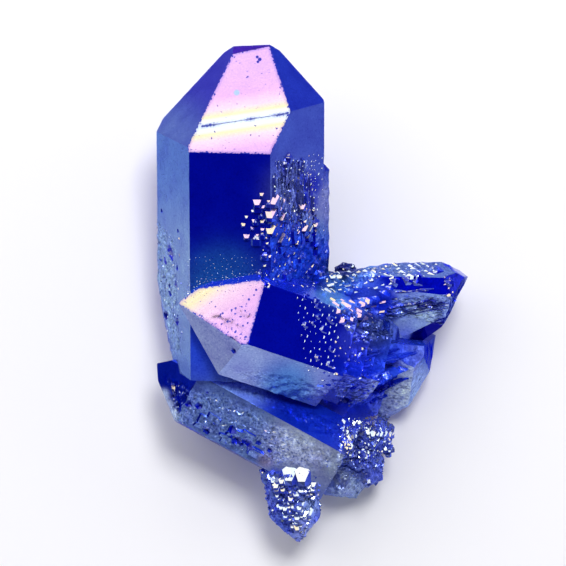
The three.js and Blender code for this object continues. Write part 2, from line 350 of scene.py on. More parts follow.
ZONES = (
    Zone(((-5.4, 18.9), (-0.6, 19.3), (0.2, 14.0), (-0.4, 9.8), (-3.6, 8.2), (-5.5, 12.9)),
         Relief.STREAKED, 0.13, 0.30, MAIN, contrast=1.7),
    Zone(((-7.6, 8.4), (-3.6, 8.2), (-0.4, 9.8), (2.4, 10.6), (2.4, 1.2), (-7.2, 1.4)),
         Relief.RUGGED, 0.07, 0.42, MAIN, level=0.8),
    Zone(((-22.5, 12.0), (-18.9, 8.0), (-18.0, -8.4), (-22.5, -8.0)),
         Relief.RUGGED, 0.13, 0.42, MAIN),
    Zone(((-21.5, -10.5), (-17.0, -11.4), (-9.0, -14.2), (-3.5, -17.8), (-1.0, -21.0),
          (-4.5, -24.8), (-9.5, -23.2), (-20.6, -18.0)),
         Relief.RUGGED, 0.12, 0.36, LOWER, 2.0, 1.2),
    Zone(((-6.5, -16.0), (3.4, -21.0), (5.0, -25.0), (-7.5, -24.2)),
         Relief.RUGGED, 0.05, 0.5, LOWER, 2.0),
    Zone(((1.8, 4.7), (8.0, 5.7), (19.5, 5.0), (20.4, 3.2), (12.0, 2.9), (3.8, 0.8), (0.8, 1.8)),
         Relief.RUGGED, 0.18, 0.5, SECOND),
    Zone(((9.6, -3.4), (10.8, 0.0), (19.4, 0.6), (20.6, -0.8), (18.6, -4.4), (14.0, -3.0)),
         Relief.STREAKED, 0.11, 0.24, SLAB_STRIAE, 0.5, 2.0),
    Zone(((2.0, 0.4), (9.0, -1.2), (11.4, -2.6), (11.8, -6.4), (5.2, -6.8)),
         Relief.STREAKED, 0.13, 0.30, SLAB_STRIAE, contrast=1.5, level=0.8),
    Zone(((2.2, -11.4), (10.4, -9.6), (12.6, -12.0), (9.6, -15.6), (3.6, -15.6)),
         Relief.STREAKED, 0.13, 0.34, SIDE_STRIAE, contrast=1.4),
    Zone(((9.6, -11.4), (16.0, -10.6), (16.0, -15.4), (12.6, -18.4), (7.6, -17.6)),
         Relief.STREAKED, 0.07, 0.30, SIDE_STRIAE, 0.6, 0.9, 0.5),
    Zone(((4.6, -6.7), (10.6, -6.4), (10.4, -10.2), (3.4, -11.2)),
         Relief.RUGGED, 0.10, 0.5, SECOND, 0.8, 0.7, 0.6),
    Zone(((10.8, -5.4), (14.4, -5.2), (17.6, -6.6), (17.6, -9.4), (15.6, -11.2), (10.6, -10.4)),
         Relief.RUGGED, 0.03, 0.42, SIDE_STRIAE, 0.5, 0.6, 0.55),
    Zone(((10.2, 0.0), (10.8, 3.0), (19.4, 2.8), (19.4, 0.8)),
         Relief.RUGGED, 0.014, 0.4, SECOND, 0.5, 0.4, 0.35),
    Zone(((18.0, 0.6), (18.4, 3.6), (20.2, 3.8), (22.2, 2.0), (20.6, -0.6)),
         Relief.RUGGED, 0.06, 0.4, SECOND, 0.4, 0.6, 0.6),
    Zone(((1.0, 20.4), (3.0, 20.4), (3.4, 0.6), (1.2, 0.6)),
         Relief.RUGGED, 0.03, 0.5, MAIN, 0.6, 0.4, 0.7),
    Zone(((-14.0, -12.6), (-8.6, -14.2), (4.0, -20.8), (5.2, -17.4), (-4.0, -14.4),
          (-12.0, -10.4)), Relief.RUGGED, 0.03, 0.45, LOWER, 0.8, 0.7, 0.5),
    Zone(((3.5, -17.8), (12.0, -17.0), (11.5, -29.0), (2.0, -30.0), (3.0, -24.0)),
         Relief.RUGGED, 0.18, 0.45, SECOND),
    Zone(((-7.5, -25.6), (1.0, -25.8), (1.0, -36.0), (-6.0, -36.0)),
         Relief.RUGGED, 0.12, 0.5, BOTTOM),
    Zone(((-17.2, -1.8), (-12.0, -1.2), (-7.6, -0.4), (-8.6, -8.2), (-12.4, -6.0)),
         Relief.RUGGED, 0.012, 0.4, SECOND, 1.0, 0.3, 0.45),
    Zone(((-7.0, -9.6), (2.0, -12.2), (3.4, -15.6), (-5.6, -14.6), (-12.4, -9.8)),
         Relief.RUGGED, 0.025, 0.35, SECOND, 1.0, 0.5, 0.6),
)


@dataclass(frozen=True)
class Tint:
    """The film's look on faces that look one way, everywhere or near one place.

    Attributes:
        looks: the faces' outward normal, or None for faces that look any way.
        body: colour of the coated quartz.
        metal: how strongly the film mirrors.
        at: middle of the place in plan, millimetres, or None for everywhere.
        reach: how far the place reaches, millimetres.
        force: how far it outweighs the other tints.
    """

    looks: np.ndarray | None
    body: Colour
    metal: float
    at: tuple[float, float] | None = None
    reach: float = 5.0
    force: float = 1.0


DEEP = (0.0, 0.003, 0.58)
ROYAL = (0.008, 0.035, 0.62)
STEEL = (0.055, 0.15, 0.46)
INK = (0.0, 0.003, 0.24)
LAVENDER = (0.11, 0.18, 0.46)
FROST = (0.38, 0.47, 0.62)
CYAN = (0.02, 0.16, 0.60)
# painted highlight: a pale colour painted on the crests of rough growth, how far it shows, and
# where it starts and is full
CREST_HIGHLIGHT = (0.34, 0.46, 0.78)
CREST_HIGHLIGHT_SHARE = 0.75          # how far the film pales on the crests of rough growth
CREST_HIGHLIGHT_LEVELS = (0.35, 0.95)  # how far a crest stands up where it starts to pale and where it ends
SLAB_FRONT = facing(188, 44)
SIDE_TOP = facing(62, 28)

TINTS = (
    # the faces of the points, everywhere
    Tint(MAIN.prism(0), DEEP, 0.6),
    Tint(SECOND.prism(0), DEEP, 0.6),
    Tint(MAIN.prism(5), (0.11, 0.23, 0.53), 0.6),
    Tint(MAIN.rhomb(0), (0.02, 0.03, 0.24), 0.6),
    Tint(SECOND.rhomb(0), (0.05, 0.06, 0.34), 0.6),
    Tint(MAIN.rhomb(5), (0.065, 0.056, 0.38), 0.78),
    Tint(MAIN.rhomb(5), (0.12, 0.18, 0.43), 0.7, (-20.0, 22.0), 3.4),
    Tint(None, (0.50, 0.58, 0.74), 0.3, (-11.1, 23.7), 0.9, 60.0),
    Tint(None, (0.50, 0.58, 0.74), 0.3, (-6.6, 24.6), 0.6, 60.0),
    Tint(MAIN.rhomb(1), (0.014, 0.03, 0.38), 0.8),
    Tint(facing(-12, 45), (0.05, 0.012, 0.34), 0.7, (-8.6, 34.6), 2.0),
    Tint(MAIN.prism(1), (0.045, 0.08, 0.44), 0.6),
    Tint(SECOND.prism(5), (0.33, 0.43, 0.78), 0.6),
    Tint(SECOND.rhomb(5), (0.27, 0.33, 0.58), 0.6),
    Tint(SECOND.rhomb(1), (0.02, 0.07, 0.60), 0.6),
    Tint(SECOND.prism(5), (0.05, 0.22, 0.66), 0.6, (-3.6, -12.4), 2.4),
    # the main point's rough right flank, its foot and its left edge
    Tint(None, (0.13, 0.17, 0.44), 0.6, (-2.4, 14.4), 2.8),
    Tint(MAIN.prism(1), (0.0, 0.045, 0.62), 0.6, (-2.6, 5.4), 4.0),
    Tint(MAIN.prism(1), STEEL, 0.5, (1.0, 10.4), 2.0),
    Tint(MAIN.prism(1), (0.19, 0.22, 0.50), 0.5, (1.5, 12.4), 1.8, 4.0),
    Tint(MAIN.prism(1), (0.0, 0.012, 0.40), 0.6, (-0.7, 15.2), 1.0, 20.0),
    Tint(MAIN.prism(1), (0.0, 0.012, 0.40), 0.6, (-0.5, 13.2), 0.9, 20.0),
    Tint(None, (0.004, 0.03, 0.48), 0.5, (0.7, 3.2), 1.1, 6.0),
    Tint(MAIN.prism(0), CYAN, 0.5, (-12.5, 1.2), 3.4),
    # painted light: a brighter royal blue on the main point's lower front face, where the second
    # point shades it
    Tint(MAIN.prism(0), (0.01, 0.07, 0.85), 0.2, (-15.2, -8.0), 4.0),
    Tint(MAIN.prism(5), (0.28, 0.42, 0.60), 0.6, (-20.6, 1.0), 7.0),
    # the lower point
    Tint(LOWER.prism(0), (0.15, 0.25, 0.57), 0.55, (-10.0, -17.0), 11.0),
    Tint(LOWER.prism(1), (0.006, 0.035, 0.58), 0.5, (-4.0, -15.0), 10.0),
    # painted light: a bright blue on the lower point's upper strip, where the second point shades
    # it
    Tint(LOWER.prism(1), (0.26, 0.46, 1.0), 0.1, (-11.4, -12.0), 3.0, 8.0),
    Tint(LOWER.rhomb(0), (0.003, 0.01, 0.24), 1.0, (-20.0, -12.0), 6.0, 4.0),
    Tint(LOWER.prism(0), (0.52, 0.61, 0.80), 0.5, (-1.4, -20.4), 3.4, 3.0),
    Tint(LOWER.prism(0), FROST, 0.6, (1.8, -23.4), 3.0),
    Tint(LOWER.prism(0), (0.42, 0.36, 0.52), 0.6, (-6.6, -23.0), 0.8, 2.0),
    # painted highlight: a pale glint strip along the far end of the lower point
    *(Tint(None, (0.44, 0.56, 0.72), 0.4, at, 0.55, 60.0)
      for at in ((-21.0, -13.8), (-20.4, -15.2), (-19.8, -16.5))),
    Tint(None, (0.34, 0.46, 0.62), 0.6, (4.0, -27.0), 2.4),
    # where the second point meets the slab, and the slab
    Tint(None, (0.16, 0.42, 0.78), 0.4, (5.0, 2.2), 2.4, 2.0),
    Tint(SECOND.prism(0), (0.03, 0.05, 0.70), 0.5, (6.0, -6.2), 1.5, 2.0),
    Tint(facing(0, 58), LAVENDER, 0.6, (14.0, 3.6), 7.0),
    Tint(facing(200, 7), (0.0, 0.004, 0.78), 0.5, (15.0, 1.6), 5.0),
    Tint(SLAB_FRONT, (0.24, 0.38, 0.90), 0.3, (15.4, -1.4), 4.0),
    Tint(SLAB_FRONT, (0.50, 0.72, 1.0), 0.2, (15.0, -3.5), 0.9, 3e3),
    Tint(SLAB_FRONT, (0.50, 0.72, 1.0), 0.2, (13.3, -4.7), 0.8, 1e3),
    Tint(SLAB_FRONT, (0.004, 0.02, 0.72), 0.5, (7.0, -1.0), 2.6),
    Tint(facing(173, 58), INK, 0.9, (16.9, -5.7), 1.0, 1e5),
    Tint(facing(77, 64), (0.01, 0.04, 0.45), 0.8, (10.9, -3.9), 1.2, 40.0),
    Tint(facing(117.5, 80), INK, 1.0, (19.0, -3.0), 4.0, 20.0),
    Tint(facing(75, 32), (0.006, 0.012, 0.40), 0.5, (19.6, 2.0), 2.5),
    Tint(None, (0.04, 0.07, 0.26), 0.6, (9.4, -4.4), 2.4, 6.0),
    Tint(None, (0.08, 0.18, 1.0), 0.15, (7.2, 0.4), 1.5, 20.0),
    Tint(None, (0.01, 0.05, 1.0), 0.15, (9.8, -0.9), 1.1, 40.0),
    # the side piece
    Tint(SIDE_TOP, (0.02, 0.07, 0.80), 0.35, (11.6, -8.2), 3.4),
    Tint(SIDE_TOP, (0.13, 0.19, 0.70), 0.4, (15.4, -8.4), 2.6, 1.5),
    Tint(facing(193, 50), (0.62, 0.80, 1.0), 0.1, (12.0, -13.2), 3.0, 2.0),
    # painted light: royal blue lifts the shaded small facets of the side piece's striae
    Tint(None, (0.02, 0.07, 0.75), 0.4, (11.4, -8.6), 2.4, 3.0),
    Tint(None, (0.012, 0.045, 0.72), 0.5, (5.0, -13.6), 3.0),
    Tint(None, (0.006, 0.03, 0.80), 0.4, (7.2, -11.0), 2.2, 3.0),
    Tint(facing(175, 66), (0.30, 0.44, 0.80), 0.3, (10.0, -15.6), 3.0),
    Tint(facing(121, 70), (0.26, 0.42, 0.80), 0.3, (15.0, -13.0), 3.5),
    Tint(facing(92, 78), (0.01, 0.04, 0.55), 1.0, (16.4, -9.0), 2.5, 20.0),
    # the druse, the bottom point, and painted shade in a hollow behind the slab
    Tint(None, (0.09, 0.14, 0.60), 0.5, (8.0, -21.4), 3.2, 2.0),
    Tint(None, (0.09, 0.14, 0.68), 0.45, (-2.2, -28.4), 4.0, 2.0),
    Tint(None, (0.26, 0.38, 0.74), 0.4, (-0.5, -29.4), 1.1, 8.0),
    Tint(None, (0.26, 0.34, 0.72), 0.4, (-1.4, -32.6), 1.0, 8.0),
    # painted shade: near-black in the hollow behind the slab
    Tint(None, (0.004, 0.008, 0.16), 0.7, (4.6, 4.4), 1.3, 40.0),
)


@dataclass(frozen=True)
class FilmMap:
    """Where the film shows which colour.

    Attributes:
        tints: the film's looks by the way a face looks.
        plain: the film's look on faces that match no tint.
        plain_weight: how strongly that look mixes into the others.
        focus: how closely a face has to match a tint's direction.
        any_way: the weight of a tint for faces that look any way.
        local_weight: how far a tint of one place outweighs the others there.
        flash_spread: how far from the flashing direction a face still flashes, degrees.
        flash_core: how far from it a face flashes fully, as a share of that.
    """

    tints: tuple[Tint, ...] = TINTS
    plain: Tint = Tint(UP, ROYAL, 0.5)
    plain_weight: float = 0.06
    focus: float = 60.0
    any_way: float = 0.3
    local_weight: float = 9.0
    flash_spread: float = 15.0
    flash_core: float = 0.4

    def body(self, normals: np.ndarray, places: np.ndarray) -> tuple[np.ndarray, np.ndarray]:
        """Blend the tints by the way each corner's face looks and where it lies.

        Args:
            normals: outward unit normals, one a row.
            places: the corners' places, millimetres, one a row.

        Returns:
            The body colour and the metal share at each corner.
        """
        total = np.full(len(normals), self.plain_weight)
        colour = total[:, None] * np.array(self.plain.body)
        metal = total * self.plain.metal
        for tint in self.tints:
            if tint.looks is None:
                weight = np.full(len(normals), self.any_way)
            else:
                weight = np.exp(self.focus * (normals @ tint.looks - 1.0))
            if tint.at:
                away = ((places[:, :2] - np.array(tint.at)) ** 2).sum(axis=1)
                weight *= self.local_weight * tint.force * np.exp(-away / tint.reach ** 2)
            colour += weight[:, None] * np.array(tint.body)
            metal += weight * tint.metal
            total += weight
        return colour / total[:, None], metal / total

    def flash(self, normals: np.ndarray) -> np.ndarray:
        """Tell how far each face turns the window's light up to the viewer, which marks where the
        film's colour gets a painted highlight.

        Args:
            normals: outward unit normals, one a row.

        Returns:
            A share from 0 to 1 for each face.
        """
        lined_up = (normals @ np.array([MAIN.rhomb(0), SECOND.rhomb(0)]).T).max(axis=1)
        edge, core = (math.cos(math.radians(share * self.flash_spread))
                      for share in (1.0, self.flash_core))
        return smoothstep(edge, core, lined_up)


@dataclass(frozen=True)
class Bands:
    """Bands of painted highlight across a big flashing face, which change colour away from a line.

    Attributes:
        start: one end of the line that they run along, in plan, millimetres.
        end: the line's other end.
        width: how far from the line the last band lies, millimetres.
        first: where in the order of colours the line stands.
    """

    start: tuple[float, float]
    end: tuple[float, float]
    width: float
    first: float

    def order(self, points: np.ndarray) -> np.ndarray:
        """Tell how far along the order of colours each point lies.

        Args:
            points: places on the face, millimetres, one a row.

        Returns:
            The line's own place in the order, rising to both sides.
        """
        run = np.array(self.end) - np.array(self.start)
        across = np.array([-run[1], run[0]]) / np.linalg.norm(run)
        away = np.abs((points[:, :2] - np.array(self.start)) @ across)
        return np.clip(self.first + (1.0 - self.first) * away / self.width, 0.0, 1.0)


# painted highlight: bands across the two big flashing faces
HIGHLIGHT_BANDS = (
    (MAIN.rhomb(0), Bands((-15.2, 23.27), (-3.4, 25.07), 7.0, 0.0)),
    (SECOND.rhomb(0), Bands((-17.6, -1.2), (-12.0, 3.0), 10.0, 0.15)),
)


class Sheet:
    """A tree of nodes that is filled in step by step.

    Attributes:
        nodes: the tree's nodes.
        links: the tree's links.
    """

    def __init__(self, tree: bpy.types.NodeTree) -> None:
        """Start on a tree."""
        self.nodes, self.links = tree.nodes, tree.links

    def feed(self, made: bpy.types.Node, values: dict[str | int, object]) -> None:
        """Give a node's inputs constants or other nodes' outputs.

        Args:
            made: the node.
            values: a constant or an output for each input that isn't left as it is.
        """
        for name, value in values.items():
            if isinstance(value, Socket):
                self.links.new(value, made.inputs[name])
            else:
                made.inputs[name].default_value = value

    def node(self, kind: str, inputs: dict[str | int, object] | None = None,
             **settings: object) -> bpy.types.Node:
        """Add a node.

        Args:
            kind: its type.
            inputs: a value for each input that isn't left as it is.
            **settings: its settings.

        Returns:
            The node.
        """
        made = self.nodes.new(kind)
        for name, setting in settings.items():
            setattr(made, name, setting)
        self.feed(made, inputs or {})
        return made

    def calculate(self, operation: str, first: object, second: object) -> Socket:
        """Add a sum, product or power of two values and give its result."""
        inputs = {0: first, 1: second}
        return self.node("ShaderNodeMath", inputs, operation=operation).outputs[0]

    def product(self, first: object, second: object) -> Socket:
        """Add the product of two values and give its result."""
        return self.calculate("MULTIPLY", first, second)

    def graded(self, value: object, start: tuple[float, float],
               end: tuple[float, float]) -> Socket:
        """Grade a value evenly from one pair to another.

        Args:
            value: the value.
            start: where it starts, and the result there.
            end: where it ends, and the result there.

        Returns:
            The result, held between the two.
        """
        return self.node("ShaderNodeMapRange", {
            "Value": value, "From Min": start[0], "From Max": end[0], "To Min": start[1],
            "To Max": end[1]}).outputs["Result"]

    def blend(self, share: object, first: object, second: object, how: str = "MIX") -> Socket:
        """Blend two colours.

        Args:
            share: how far the second colour shows.
            first: the first colour.
            second: the second colour.
            how: the kind of blend.

        Returns:
            The blend.
        """
        made = self.node("ShaderNodeMix", data_type="RGBA", blend_type=how)
        self.feed(made, {"Factor": share, "A": first, "B": second})
        return made.outputs["Result"]

    def colours(self, value: object, stops: tuple[tuple[float, Colour], ...],
                strength: float = 1.0) -> Socket:
        """Turn a value into a run of colours.

        Args:
            value: the value.
            stops: places in the run and their colours.
            strength: what every colour is multiplied by.

        Returns:
            The colour.
        """
        made = self.node("ShaderNodeValToRGB", {0: value})
        ramp = made.color_ramp
        while len(ramp.elements) < len(stops):
            ramp.elements.new(0.5)
        for element, (place, colour) in zip(ramp.elements, stops):
            element.position = place
            element.color = (*(strength * c for c in colour), 1.0)
        return made.outputs["Color"]


class FilmSheet(Sheet):
    """The nodes of the film's material.

    Attributes:
        place: where its patterns are read.
    """

    def __init__(self, tree: bpy.types.NodeTree) -> None:
        """Start on the material's tree."""
        super().__init__(tree)
        self.place = self.node("ShaderNodeTexCoord").outputs["Object"]

    def film_map(self, name: str, output: str = "Fac") -> Socket:
        """Read one of the film's maps that the piece carries."""
        return self.node("ShaderNodeAttribute", attribute_name=f"film_{name}").outputs[output]

    def speckle(self, scale: float, detail: float) -> Socket:
        """Add a noise pattern, from 0 to 1, by its patches a metre and its finer layers."""
        return self.node("ShaderNodeTexNoise", {
            "Vector": self.place, "Scale": scale, "Detail": detail}).outputs["Fac"]

    def spot(self, spot: tuple[float, float, float], inside: float, outside: float) -> Socket:
        """Tell a round spot from what lies round it.

        Args:
            spot: its place in plan and its radius, millimetres.
            inside: the value in the spot.
            outside: the value away from it.

        Returns:
            The value.
        """
        across, up, radius = (length * MM for length in spot)
        flat = self.node("ShaderNodeVectorMath", {0: self.place, 1: (1.0, 1.0, 0.0)},
                         operation="MULTIPLY").outputs[0]
        away = self.node("ShaderNodeVectorMath", {0: flat, 1: (across, up, 0.0)},
                         operation="DISTANCE").outputs["Value"]
        return self.graded(away, (0.7 * radius, inside), (1.2 * radius, outside))


@dataclass(frozen=True)
class AuraFilm:
    """The coated quartz: a deep blue body under a film that mirrors like thin metal.

    Attributes:
        name: the material's name.
        roughness: roughness of the smooth faces.
        ior: how strongly the faces mirror beside the film's own share.
        flash_strength: how strongly the painted highlight colours flashing faces.
        rough_roughness: roughness where growth has left the surface rough.
        grain: strength of the fine grain on smooth faces.
        rough_grain: strength of the fine grain where the surface is rough.
        grain_scale: patches a metre of the fine grain.
        chips: how far nicks reach in from the edges of a flashing face, millimetres.
        chip_scale: patches a metre of the nicks.
        rim: how far in from its edges a flashing face is dimmer, millimetres.
        specks: how high a speck's pattern stands where it starts and where it is complete.
        speck_scale: patches a metre of the specks.
        grit: how far the colour is mottled on smooth faces.
        rough_grit: how far it is mottled where the surface is rough.
        grit_scale: patches a metre of the mottling.
        mottles: the colours of the mottling.
        cloud_scale: patches a metre of the clouds.
        clouds: the colours of the clouds.
        pits: small pits in the two flashing faces: place in plan and radius, millimetres.
        stain: a round stain in the taller one: place in plan and radius, millimetres.
        stain_colour: the film's colour there.
        grazing: colour of what a face mirrors at a grazing angle.
        painted_flash_colours: the pale colours painted on flashing faces as a painted highlight of
            the window, partly the film's own interference colours, from the thinnest film to the
            thickest.
    """

    name: str = "aura_film"
    roughness: float = 0.14
    ior: float = 1.45
    flash_strength: float = 0.62
    rough_roughness: float = 0.30
    grain: float = 0.05
    rough_grain: float = 0.6
    grain_scale: float = 2600.0
    chips: float = 1.1
    chip_scale: float = 3000.0
    rim: float = 0.5
    specks: tuple[float, float] = (0.68, 0.73)
    speck_scale: float = 2100.0
    grit: float = 0.45
    rough_grit: float = 1.0
    grit_scale: float = 3600.0
    mottles: tuple[tuple[float, Colour], ...] = (
        (0.34, (0.30, 0.36, 0.66)), (0.47, (1.0, 1.0, 1.0)), (0.58, (1.0, 1.0, 1.0)),
        (0.70, (1.9, 1.8, 1.25)))
    cloud_scale: float = 330.0
    clouds: tuple[tuple[float, Colour], ...] = (
        (0.32, (0.70, 0.66, 0.86)), (0.68, (1.0, 1.0, 1.0)))
    pits: tuple[tuple[float, float, float], ...] = (
        (-7.7, 33.15, 0.21), (-7.35, 32.8, 0.27), (-7.6, 32.45, 0.19), (-7.8, 1.0, 0.17),
        (-8.1, 0.3, 0.13), (-8.8, -0.3, 0.18), (-12.4, -2.2, 0.15), (-10.6, -1.5, 0.14),
        (-11.4, -3.3, 0.12), (-9.6, -3.9, 0.14), (-9.2, -5.4, 0.16), (-13.4, -1.3, 0.11))
    stain: tuple[float, float, float] = (-10.5, 28.1, 0.42)
    stain_colour: Colour = (0.22, 0.40, 0.62)
    grazing: tuple[float, float, float, float] = (0.25, 0.32, 0.85, 1.0)
    painted_flash_colours: tuple[tuple[float, Colour], ...] = (
        (0.0, (0.80, 0.95, 1.0)), (0.09, (0.95, 1.0, 0.95)), (0.17, (1.0, 0.88, 0.52)),
        (0.30, (0.98, 0.72, 0.85)), (0.55, (0.83, 0.50, 0.85)), (1.0, (0.80, 0.50, 0.95)))

    def material(self) -> bpy.types.Material:
        """Build the film's material.

        Returns:
            The material, with its nodes.
        """
        made = bpy.data.materials.new(self.name)
        made.use_nodes = True
        sheet = FilmSheet(made.node_tree)
        rough, flash = sheet.film_map("rough"), self.worn_flash(sheet)
        # painted highlight: faces that mirror the window towards the camera take pale colours,
        # partly the film's own interference colours, and a round stain is mixed in
        bright = sheet.blend(
            sheet.spot(self.stain, 0.8, 0.0),
            sheet.colours(sheet.film_map("order"), self.painted_flash_colours, self.flash_strength),
            (*self.stain_colour, 1.0))
        colour = sheet.blend(flash, sheet.film_map("body", "Color"), bright)
        clouds = sheet.colours(sheet.speckle(self.cloud_scale, 4.0), self.clouds)
        colour = sheet.blend(
            sheet.graded(flash, (0.0, 1.0), (1.0, 0.2)), colour, clouds, "MULTIPLY")
        mottle = sheet.colours(sheet.speckle(self.grit_scale, 3.0), self.mottles)
        share = sheet.product(sheet.graded(rough, (0.0, self.grit), (1.0, self.rough_grit)),
                              sheet.graded(flash, (0.0, 1.0), (1.0, 0.25)))
        colour = sheet.blend(share, colour, mottle, "MULTIPLY")
        bump = sheet.node("ShaderNodeBump", {
            "Strength": sheet.graded(rough, (0.0, self.grain), (1.0, self.rough_grain)),
            "Height": sheet.speckle(self.grain_scale, 5.0), "Distance": 0.1 * MM})
        sheet.feed(made.node_tree.nodes["Principled BSDF"], {
            "Base Color": colour, "Metallic": sheet.film_map("metal"), "IOR": self.ior,
            "Specular Tint": self.grazing, "Normal": bump.outputs["Normal"],
            "Roughness": sheet.graded(rough, (0.0, self.roughness), (1.0, self.rough_roughness))})
        return made

    def worn_flash(self, sheet: FilmSheet) -> Socket:
        """Take nicks, pits and specks out of the flashing faces.

        Args:
            sheet: the material's nodes.

        Returns:
            How far the film flashes, from 0 to 1.
        """
        gap = sheet.film_map("gap")
        nick = sheet.calculate("SUBTRACT", sheet.speckle(self.chip_scale, 5.0), 0.47)
        nick = sheet.calculate("SUBTRACT", gap, sheet.product(nick, self.chips))
        flash = sheet.product(sheet.film_map("flash"), sheet.graded(nick, (0.0, 0.0), (0.05, 1.0)))
        flash = sheet.product(flash, sheet.graded(gap, (0.0, 0.6), (self.rim, 1.0)))
        wear = sheet.calculate("ADD", sheet.speckle(self.speck_scale, 2.0),
                               sheet.product(sheet.film_map("rough"), 0.2))
        for pit in self.pits:
            flash = sheet.product(flash, sheet.spot(pit, 0.0, 1.0))
        start, end = self.specks
        return sheet.product(flash, sheet.graded(wear, (start, 1.0), (end, 0.0)))


@dataclass
class Facet:
    """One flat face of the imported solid.

    Attributes:
        normal: its outward normal.
        origin: a point on it.
        axes: two directions in its plane, the second along the growth axis where there is one.
        starts: where each stretch of its outline starts, as point numbers.
        ends: where each stretch ends.
        area: its area in square millimetres.
    """

    normal: np.ndarray
    origin: np.ndarray
    axes: np.ndarray
    starts: np.ndarray
    ends: np.ndarray
    area: float

    def flat(self, points: np.ndarray) -> np.ndarray:
        """Give points' places in the face's own plane."""
        return (points - self.origin) @ self.axes.T

    def raised(self, flat: np.ndarray) -> np.ndarray:
        """Give places in the face's plane as points in space."""
        return self.origin + flat @ self.axes


@dataclass(frozen=True)
class Net:
    """The skin's fine triangles before they are textured, each of them in one facet.

    Attributes:
        points: its points, millimetres.
        owners: the facet of each point, or -1 on an edge between facets.
        gaps: how far each point is from its facet's outline, millimetres.
        triangles: its triangles.
        facets: the facet of each triangle.
        normals: the outward normal of each triangle.
    """

    points: np.ndarray
    owners: np.ndarray
    gaps: np.ndarray
    triangles: np.ndarray
    facets: np.ndarray
    normals: np.ndarray

    def patch(self, outline: Plan, steepest: float) -> bpy.types.Object:
        """Cut out the stretch that lies inside an outline and looks up.

        Args:
            outline: its corners in plan, millimetres.
            steepest: the least upward share of a triangle's normal.

        Returns:
            The stretch as an object.
        """
        middle = self.points[self.triangles].mean(axis=1)
        there = inside_plan(middle, outline) & (middle[:, 2] > FOOT)
        kept = self.triangles[there & (self.normals[:, 2] > steepest)]
        names, where = np.unique(kept, return_inverse=True)
        return mesh_object("patch", self.points[names], where.reshape(-1, 3))


